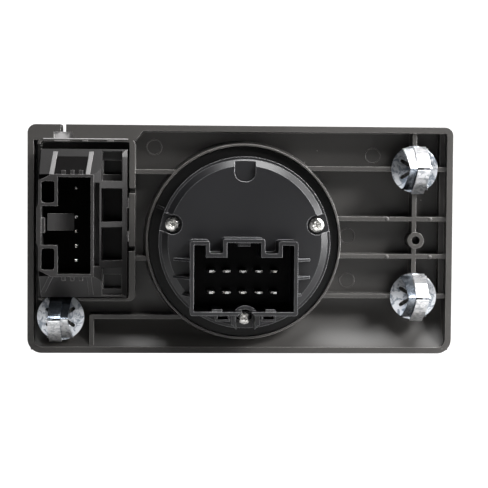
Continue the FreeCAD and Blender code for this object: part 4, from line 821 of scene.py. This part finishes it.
@dataclass
class SpringClip:
    """A folded spring-steel clip; lengths in millimetres, with its foot disc's middle as the origin.

    u runs along the ridge, v across it and h away from the panel. Its painted shades are one pair for each
    shell, above and below the middle, darkening the steel where it shows dark reflections: the disc, the
    roof's two outer strips, its two inner halves and the band's two legs.
    """

    wardrobe: Wardrobe
    node: str
    column: float
    height: float
    turn: float
    painted_shades: list[tuple[float, float]]
    level: float = -1.5
    radius: float = 8.8
    hole: float = 2.0
    bells: tuple[float, ...] = (33.0, 150.0, 210.0, 327.0)
    bell_reach: float = 4.4
    bell_spread: float = 0.19
    sheet: float = 0.45
    dish: float = 0.9
    reach: float = 7.7
    ridge: float = 12.1
    band_side: float = -1.6
    band_half: float = 2.35
    band_rim: float = 9.2
    slit: float = 0.06
    skew: float = 0.35

    def build(self) -> None:
        """Makes the clip's disc, roof and band, and puts them in the place of the CAD clip."""
        near, far = self.band_side - self.band_half, self.band_side + self.band_half
        near_edge, far_edge = (lambda s: np.full_like(s, near)), (lambda s: np.full_like(s, far))
        roof = [
            self._roof(-1.0, 1.0, self._right, near_edge),
            self._roof(-1.0, 1.0, far_edge, self._left),
            self._roof(-1.0, -self.slit, near_edge, far_edge),
            self._roof(self.slit, 1.0, near_edge, far_edge),
        ]
        shells = [self._disc()] + roof + [self._band(-1.0), self._band(1.0)]
        piece = piece_of(f"{self.node}_spring", shells, self.painted_shades, self.height * MM)
        self.wardrobe.wear(piece, Look.SPRING)
        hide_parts(self.node)
        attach(piece, Body.PANEL.value)

    def _placed(self, u: np.ndarray, v: np.ndarray, h: np.ndarray) -> np.ndarray:
        """The points in the panel's frame, in metres."""
        return np.stack((self.column + self.turn * u, self.level + h, self.height + self.turn * v), -1) * MM

    def _left(self, s: np.ndarray) -> np.ndarray:
        """The roof's waisted edge: u = 4.9 at the foot, soon 1.2 less, and 1.45 less at the ridge."""
        return 4.9 - 1.45 * (1.0 - np.abs(s)) ** 0.45

    def _right(self, s: np.ndarray) -> np.ndarray:
        """The roof's other edge: u = -5.1, hollowed by 1.6 sin(pi p) at height p, 0.3 less at the ridge."""
        up = 1.0 - np.abs(s)
        return 1.6 * np.sin(math.pi * up) + 0.3 * up**8 - 5.1

    def _disc(self) -> Shell:
        """A dished ring, h = dish (1 - (r / R)^2), its hole drawn out by bells, reach exp(-(a / spread)^4).

        Returns:
            The points in metres and the quads.
        """
        angle = np.linspace(0.0, 2.0 * math.pi, 144, endpoint=False)
        hole = np.full_like(angle, self.hole)
        for middle in self.bells:
            away = np.angle(np.exp(1j * (angle - math.radians(middle))))
            hole += self.bell_reach * np.exp(-((away / self.bell_spread) ** 4))
        share = np.linspace(0.0, 1.0, 14)[:, None]
        radius = hole + (self.radius - hole) * share
        rise = self.sheet / 2 + self.dish * (1.0 - (radius / self.radius) ** 2)
        points = self._placed(radius * np.cos(angle), radius * np.sin(angle), rise)
        return shell(points[:, ::-1], self.sheet * MM, True)

    def _roof(self, low: float, high: float, near: Edge, far: Edge) -> Shell:
        """Part of the roof: v = reach s, and h falls from the rounded ridge with a slight crown.

        Args:
            low: where the part starts, s from -1 at one foot to 1 at the other.
            high: where the part ends.
            near: gives u on one edge at each s.
            far: gives u on the other edge.

        Returns:
            The points in metres and the quads.
        """
        s = np.linspace(low, high, 49)
        share = np.linspace(0.0, 1.0, 9)
        start, end = near(s), far(s)
        u = start[:, None] + (end - start)[:, None] * share
        v = np.repeat((self.reach * s)[:, None], len(share), 1)
        away = np.sqrt(s * s + 0.05**2) - 0.05
        h = self.sheet / 2 + self.ridge * (1.0 - away) + 0.35 * np.sin(math.pi * np.abs(s))
        return shell(self._placed(u, v, np.repeat(h[:, None], len(share), 1)), self.sheet * MM)

    def _band(self, side: float) -> Shell:
        """One leg of the barb band, from the rim over its knee to the slit at the ridge, with two creases.

        Straight runs join its knots, two soft steps of 0.14 press the creases, and across it h has the crown
        0.12 (1 - t^2).

        Args:
            side: -1 or 1, the side of the ridge that the leg is on.

        Returns:
            The points in metres and the quads.
        """
        rim = self.band_rim if side * self.turn < 0 else self.radius - 0.4
        knots = np.array([[rim, 0.2], [5.2, 7.5], [3.4, 9.9], [1.6, 11.9], [0.45, 12.9]])
        along = np.linspace(0.0, len(knots) - 1.0, 61)
        v = np.interp(along, np.arange(len(knots)), knots[:, 0])
        h = np.interp(along, np.arange(len(knots)), knots[:, 1])
        h += 0.14 * (smooth_step(1.5, 1.2, v) + smooth_step(3.6, 3.3, v)) - 0.10
        share = np.linspace(-1.0, 1.0, 7)
        middle = self.band_side - side * self.skew * v / self.band_rim
        u = middle[:, None] + self.band_half * share
        crown = 0.12 * (1.0 - share * share)
        points = self._placed(u, side * np.repeat(v[:, None], len(share), 1), h[:, None] + crown)
        return shell(points if side < 0 else points[:, ::-1], self.sheet * MM)


@dataclass
class CrossScrew:
    """A pan-head screw with a cross recess; lengths in millimetres."""

    wardrobe: Wardrobe
    node: str
    column: float
    height: float
    twist: float
    level: float = 8.8
    head: float = 2.75
    head_rise: float = 1.85
    shank: float = 1.15
    length: float = 7.9
    arm: float = 1.5
    arm_half: float = 0.36
    depth: float = 1.0

    def build(self) -> None:
        """Makes the screw and puts it in the CAD screw's place.

        The head's top is h = rise (1 - 0.45 (r / R)^3) less the cross, whose arms fall with smooth sides.
        """
        angle = np.linspace(0.0, 2.0 * math.pi, 120, endpoint=False)
        radius = np.concatenate((np.linspace(0.02, 0.97, 30) * self.head, [self.head]))
        r, a = np.meshgrid(radius, angle, indexing="ij")
        x, z = r * np.cos(a - self.twist), r * np.sin(a - self.twist)
        cross = np.zeros_like(r)
        for near, far in ((x, z), (z, x)):
            slot = smooth_step(self.arm_half + 0.12, self.arm_half - 0.08, np.abs(near))
            cross = np.maximum(cross, slot * smooth_step(self.arm, 0.3 * self.arm, np.abs(far)))
        top = self.head_rise * (1.0 - 0.45 * (r / self.head) ** 3) - self.depth * cross
        tip = -self.length
        under = np.array([[self.head, 0.05], [self.shank, 0.0], [self.shank, tip + 0.8], [0.1, tip]])
        low_r, low_h = (np.repeat(under[:, k][:, None], len(angle), 1) for k in (0, 1))
        rise = np.concatenate((top, low_h))
        out = np.concatenate((r, low_r))
        turn = np.concatenate((a, np.repeat(angle[None, :], len(under), 0)))
        x, z = self.column + out * np.cos(turn), self.height + out * np.sin(turn)
        points = np.stack((x, self.level + rise, z), -1)
        rows, columns = rise.shape
        index = np.arange(rows * columns).reshape(rows, columns)
        wide = np.concatenate((index, index[:, :1]), axis=1)
        quads = np.stack((wide[:-1, :-1], wide[:-1, 1:], wide[1:, 1:], wide[1:, :-1]), -1).reshape(-1, 4)
        mesh = bpy.data.meshes.new(f"{self.node}_cross")
        ends = [index[0][::-1].tolist(), index[-1].tolist()]
        mesh.from_pydata((points * MM).reshape(-1, 3).tolist(), [], quads.tolist() + ends)
        mesh.shade_smooth()
        mesh.set_sharp_from_angle(angle=math.radians(SCREW_CREASE))
        piece = linked(mesh.name, mesh)
        LOG.info("%s made", mesh.name)
        self.wardrobe.wear(piece, Look.SCREW)
        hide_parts(self.node)
        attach(piece, Body.PANEL.value)


@dataclass
class Print:
    """White marks printed on a flat front face; lengths in millimetres, seen from the driver's side."""

    wardrobe: Wardrobe
    name: str
    body: Body
    level: float
    ink: float = 0.08
    strokes: list[Shell] = field(default_factory=list)

    def stroke(self, path: np.ndarray, width: float, closed: bool = False) -> None:
        """Adds a line of one width: the path moved to both sides along its unit normal (-dz, dx).

        Args:
            path: the line's points, an array (n, 2) of x and z.
            width: the line's width.
            closed: whether the last point joins the first.
        """
        ahead = np.roll(path, -1, axis=0) - np.roll(path, 1, axis=0) if closed else np.gradient(path, axis=0)
        normal = np.stack((-ahead[:, 1], ahead[:, 0]), -1)
        normal /= np.linalg.norm(normal, axis=1, keepdims=True)
        sides = np.stack((path - normal * width / 2, path + normal * width / 2))
        middle = np.stack((sides[..., 0], np.full(sides.shape[:2], self.level), sides[..., 1]), -1)
        self.strokes.append(shell(middle * MM, self.ink * MM, closed))

    def line(self, start: tuple[float, float], end: tuple[float, float], width: float = 0.4) -> None:
        """Adds a straight line."""
        self.stroke(np.linspace(start, end, 4), width)

    def loop(self, x: float, z: float, wide: float, tall: float, width: float = 0.4) -> None:
        """Adds an ellipse of half axes wide and tall."""
        angle = np.linspace(0.0, 2.0 * math.pi, 40, endpoint=False)
        self.stroke(np.stack((x + wide * np.cos(angle), z + tall * np.sin(angle)), -1), width, closed=True)

    def lamp(self, x: float, z: float, side: float, rays: int) -> None:
        """Adds a lamp's sign: a half ellipse closed by its chord, with level rays on one side.

        Args:
            x: the chord's place.
            z: the chord's middle height.
            side: 1 for a bow towards +X, or -1.
            rays: how many rays.
        """
        angle = np.linspace(-math.pi / 2, math.pi / 2, 17)
        bow = np.stack((x + side * 1.5 * np.cos(angle), z + 1.3 * np.sin(angle)), -1)
        chord = np.linspace((x, z + 1.3), (x, z - 1.3), 9)[1:-1]
        self.stroke(np.concatenate((bow, chord)), 0.35, closed=True)
        for height in np.linspace(-1.1, 1.1, rays):
            self.line((x - side * 0.7, z + height), (x - side * 2.2, z + 0.8 * height), 0.3)

    def build(self) -> None:
        """Joins the strokes into one printed piece."""
        piece = piece_of(self.name, self.strokes)
        self.wardrobe.wear(piece, Look.MARK)
        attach(piece, self.body.value)


@dataclass
class FrontMarks:
    """The marks on the front: the dial's, the dimmer's and the knob's pointer; lengths in millimetres."""

    wardrobe: Wardrobe
    places: tuple[float, ...] = (-30.0, 0.0, 30.0, 60.0)
    dial_level: float = -13.22
    tick_inner: float = 21.0
    tick_outer: float = 22.4
    sign_radius: float = 25.8
    dimmer_level: float = -12.62
    bulb: tuple[float, float] = (59.8, 22.5)
    bulb_radius: float = 1.2
    scale_left: float = 66.0
    scale_rise: tuple[float, float] = (-2.5, 15.5)
    grip_level: float = -29.8
    grip_crown: float = 0.6
    grip_half: float = 14.2
    pointer: tuple[float, float] = (8.5, 13.2)

    def build(self) -> None:
        """Makes the three printed pieces."""
        self._dial()
        self._dimmer()
        self._pointer()

    def _dial(self) -> None:
        """A tick and a sign for each of the knob's four places."""
        marks = Print(self.wardrobe, "dial_marks", Body.PANEL, self.dial_level)
        turns = np.radians(self.places)
        ways = np.stack((np.sin(turns), np.cos(turns)), -1)
        for out in ways:
            marks.line(tuple(self.tick_inner * out), tuple(self.tick_outer * out), 0.45)
        side, rest, low, high = self.sign_radius * ways
        marks.lamp(*side, -1.0, 2)
        marks.loop(*rest, 0.9, 1.4)
        marks.lamp(*low, 1.0, 3)
        marks.lamp(*high, 1.0, 4)
        marks.build()

    def _dimmer(self) -> None:
        """A small lamp with rays, and a row of ticks that grow with the brightness."""
        marks = Print(self.wardrobe, "dimmer_marks", Body.PANEL, self.dimmer_level)
        marks.loop(*self.bulb, self.bulb_radius, self.bulb_radius, 0.35)
        for angle in np.linspace(0.0, 2.0 * math.pi, 8, endpoint=False):
            out = np.array((math.cos(angle), math.sin(angle)))
            marks.line(tuple(self.bulb + 1.8 * out), tuple(self.bulb + 2.8 * out), 0.3)
        for index, height in enumerate(np.linspace(*self.scale_rise, 7)):
            marks.line((self.scale_left, height), (self.scale_left + 0.6 + 0.35 * index, height), 0.4)
        marks.build()

    def _pointer(self) -> None:
        """A line on the grip's crowned face, y = level - crown (1 - (z / half)^2)."""
        z = np.linspace(*self.pointer, 12)
        y = self.grip_level - self.grip_crown * (1.0 - (z / self.grip_half) ** 2) - 0.01
        sides = [np.stack((np.full_like(z, x), y, z), -1) for x in (-0.5, 0.5)]
        piece = piece_of("knob_pointer", [shell(np.stack(sides) * MM, 0.06 * MM)])
        self.wardrobe.wear(piece, Look.MARK)
        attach(piece, Body.KNOB.value)


@dataclass
class Stage:
    """A round studio bowl with soft lights, mostly from the picture's right and from above.

    The camera sees the bowl as plain white. Light that bounces off it finds it grey, and dark behind the
    camera and at the picture's left.
    """

    floor_level: float = -43.2 * MM
    radius: float = 1.9
    bend: float = 0.5
    height: float = 2.6
    segments: int = 96

    def build(self) -> None:
        """Makes the bowl, the lights and the world."""
        self._bowl()
        self._lights()
        LOG.info("stage ready")

    def _bowl(self) -> None:
        """The bowl turns a profile about the vertical: level, a quarter circle up, then upright."""
        arc = np.linspace(0.0, math.pi / 2, 13)
        bend = self.radius + self.bend * (np.sin(arc) - 1.0)
        run = np.concatenate(([0.02, 0.3, 0.8], bend, [self.radius]))
        rise = np.concatenate(([0.0, 0.0, 0.0], self.bend * (1.0 - np.cos(arc)), [self.height]))
        mesh = surface_of_turn("stage_bowl", run, rise + self.floor_level, self.segments)
        bowl = linked("stage_bowl", mesh)
        material, tree = blank_material("StudioWhite")
        place = tree.add("SeparateXYZ", Vector=tree.add("TexCoord").outputs["Object"])
        behind = tree.add("MapRange", Value=place.outputs["Y"], From_Min=0.15, From_Max=0.60)
        beside = tree.add("MapRange", Value=place.outputs["X"], From_Min=0.05, From_Max=0.60)
        unlit = tree.math("MAXIMUM", behind.outputs["Result"], beside.outputs["Result"])
        shade = tree.blend(unlit, (0.42, 0.42, 0.42), (0.015, 0.015, 0.015))
        paint = tree.add("BsdfDiffuse", Color=shade)
        glow = tree.add("Emission", Color=(1.0, 1.0, 1.0), Strength=1.15)
        path = tree.add("LightPath")
        mix = tree.add("MixShader")
        tree.link(path.outputs["Is Camera Ray"], mix.inputs[0])
        tree.link(paint.outputs[0], mix.inputs[1])
        tree.link(glow.outputs[0], mix.inputs[2])
        tree.surface(mix.outputs[0])
        mesh.materials.append(material)

    def _lights(self) -> None:
        """Area lights, each aimed at the panel, and a dim grey world."""
        for name, place, size, power in (
            ("key_light", (-0.56, 0.42, 0.46), 0.22, 10.5),
            ("top_light", (-0.16, 0.18, 0.88), 0.60, 16.0),
            ("back_light", (-0.15, -0.62, 0.80), 0.50, 10.0),
            ("side_light", (-0.95, 0.30, 0.12), 0.50, 14.0),
            ("low_light", (-0.50, 0.75, -0.30), 0.40, 4.0),
            ("fill_light", (0.70, 0.80, 0.10), 0.50, 0.3),
            ("front_light", (0.50, -0.80, 0.50), 0.50, 4.0),
        ):
            lamp = bpy.data.lights.new(name, "AREA")
            lamp.shape = "SQUARE"
            lamp.size = size
            lamp.energy = power
            holder = linked(name, lamp)
            holder.location = place
            holder.rotation_euler = (-Vector(place)).to_track_quat("-Z", "Y").to_euler()
        world = bpy.data.worlds.new("studio_world")
        world.use_nodes = True
        background = world.node_tree.nodes["Background"]
        background.inputs["Color"].default_value = (0.9, 0.93, 1.0, 1.0)
        background.inputs["Strength"].default_value = 0.035
        bpy.context.scene.world = world


def surface_of_turn(name: str, radii: np.ndarray, heights: np.ndarray, segments: int) -> bpy.types.Mesh:
    """A profile turned about the vertical axis.

    Point (i, j) is (r_i cos a_j, r_i sin a_j, z_i), with a_j the j-th of equal turns; quads join neighbours.

    Args:
        name: the mesh's name.
        radii: the profile's distances from the axis.
        heights: the profile's heights.
        segments: how many equal turns.

    Returns:
        The mesh, its first ring closed by one face.
    """
    turn = np.linspace(0.0, 2.0 * math.pi, segments, endpoint=False)
    x, y = np.outer(radii, np.cos(turn)), np.outer(radii, np.sin(turn))
    points = np.stack((x, y, np.repeat(heights[:, None], segments, 1)), -1).reshape(-1, 3)
    rows, columns = np.meshgrid(np.arange(len(radii) - 1) * segments, np.arange(segments), indexing="ij")
    after = (columns + 1) % segments
    higher = rows + segments
    quads = np.stack((rows + columns, rows + after, higher + after, higher + columns), -1).reshape(-1, 4)
    faces = quads[:, ::-1].tolist() + [list(range(segments))]
    mesh = bpy.data.meshes.new(name)
    mesh.from_pydata(points.tolist(), [], faces)
    mesh.shade_smooth()
    return mesh


@dataclass
class PhotoCamera:
    """The photograph's camera: its angle, distance, focal length in pixels, roll and middle."""

    azimuth: float = 177.3
    elevation: float = 2.3
    distance: float = 540.0 * MM
    focal: float = 1428.0
    roll: float = 0.4
    middle: tuple[float, float] = (241.0, 239.7)
    target: Point = (0.9 * MM, 0.0, 0.7 * MM)

    def build(self) -> None:
        """Makes the camera and hands it to the scene."""
        turn, lift, roll = (math.radians(value) for value in (self.azimuth, self.elevation, self.roll))
        out = Vector((math.sin(turn) * math.cos(lift), -math.cos(turn) * math.cos(lift), math.sin(lift)))
        level = (-out).cross(Vector((0.0, 0.0, 1.0))).normalized()
        above = level.cross(-out)
        right = level * math.cos(roll) + above * math.sin(roll)
        up = above * math.cos(roll) - level * math.sin(roll)
        place = Vector(self.target) + out * self.distance
        lens = bpy.data.cameras.new("photo_camera")
        lens.sensor_width = 36.0
        lens.sensor_fit = "HORIZONTAL"
        lens.lens = lens.sensor_width * self.focal / PHOTO_SIDE
        lens.shift_x = (PHOTO_SIDE / 2 - self.middle[0]) / PHOTO_SIDE
        lens.shift_y = (self.middle[1] - PHOTO_SIDE / 2) / PHOTO_SIDE
        lens.clip_start = 0.01
        camera = linked("photo_camera", lens)
        axes = Matrix((right, up, out)).transposed().to_4x4()
        camera.matrix_world = Matrix.Translation(place) @ axes
        bpy.context.scene.camera = camera


def numbered(stem: str, count: int, digits: int = 1) -> list[str]:
    """The names of a row of nodes that differ by a number, from 1."""
    return [f"{stem}_{index:0{digits}d}" for index in range(1, count + 1)]


def main() -> None:
    """Builds the panel's dressing, the stage and the camera."""
    logging.basicConfig(level=logging.INFO, format="%(name)s: %(message)s")
    bpy.context.scene.view_settings.view_transform = "Standard"
    PhotoCamera().build()
    Stage().build()
    wardrobe = Wardrobe()
    modules = (
        Module(wardrobe, "bezel", {"bezel": Look.BEZEL}, ("bezel",), {"bezel": bezel_painted_highlight}),
        Module(wardrobe, "switch", {
            "switch_housing": Look.BLACK, "rear_cover": Look.COVER, "contact_rotor": Look.INNER,
            "circuit_board": Look.BOARD, "detent_plunger": Look.INNER, "detent_spring": Look.SPRING,
            "dial_ring": Look.DIAL, "light_guide": Look.GUIDE,
        } | {name: Look.CONTACT for name in numbered("contact_blade", 10, 2)}
            | {name: Look.LAMP for name in numbered("dial_lamp", 3)}
            | {name: Look.SPRING for name in numbered("contact_spring", 3)},
            ("switch_housing", "rear_cover"), {"switch_housing": switch_painted_shade, "rear_cover": switch_painted_shade}),
        Module(wardrobe, "knob", {"knob": Look.KNOB, "knob_ring": Look.TRIM, "knob_shaft": Look.KNOB},
               ("knob", "knob_ring")),
        Module(wardrobe, "dimmer", {
            "dimmer_housing": Look.DIMMER, "dimmer_front": Look.DIAL, "dimmer_board": Look.BOARD,
            "detent_leaf": Look.SPRING, "dimmer_lamp": Look.LAMP, "potentiometer": Look.INNER,
            "thumbwheel": Look.KNOB, "wheel_axle": Look.SPRING,
        } | {name: Look.CONTACT for name in numbered("dimmer_pin", 5)},
            ("dimmer_housing", "thumbwheel", "dimmer_front"), {"dimmer_housing": dimmer_painted_light},
            ((0, 57.0), (0, 70.2), (2, 31.6))),
    )
    for module in modules:
        module.dress()
    # Painted shade for each clip's shells, above and below the middle, darkening the steel where it shows
    # dark reflections.
    disc, under = (0.42, 0.42), [(0.2, 0.5)] * 2
    clips = (
        (-65.0, 27.8, 1.0, [disc, (0.0, 0.4), (0.0, 0.8), *under, (0.1, 0.1), (0.0, 0.1)]),
        (-65.0, -20.6, 1.0, [disc, (0.1, 0.3), (0.85, 0.75), *under, (0.0, 0.0), (0.0, 0.0)]),
        (68.8, -28.8, -1.0, [disc, (0.3, 0.0), (0.9, 0.1), *under, (0.9, 0.0), (0.9, 0.0)]),
    )
    for node, (column, height, turn, painted_shades) in zip(numbered("retaining_clip", 3), clips):
        SpringClip(wardrobe, node, column, height, turn, painted_shades).build()
    for node, angle, twist in zip(numbered("cover_screw", 3), (14.0, 166.0, 270.0), (0.5, -0.3, 0.9)):
        out = math.radians(angle)
        CrossScrew(wardrobe, node, SCREW_CIRCLE * math.cos(out), SCREW_CIRCLE * math.sin(out), twist).build()
    MouldMarks(wardrobe).build()
    FrontMarks(wardrobe).build()


if __name__ == "__main__":
    main()
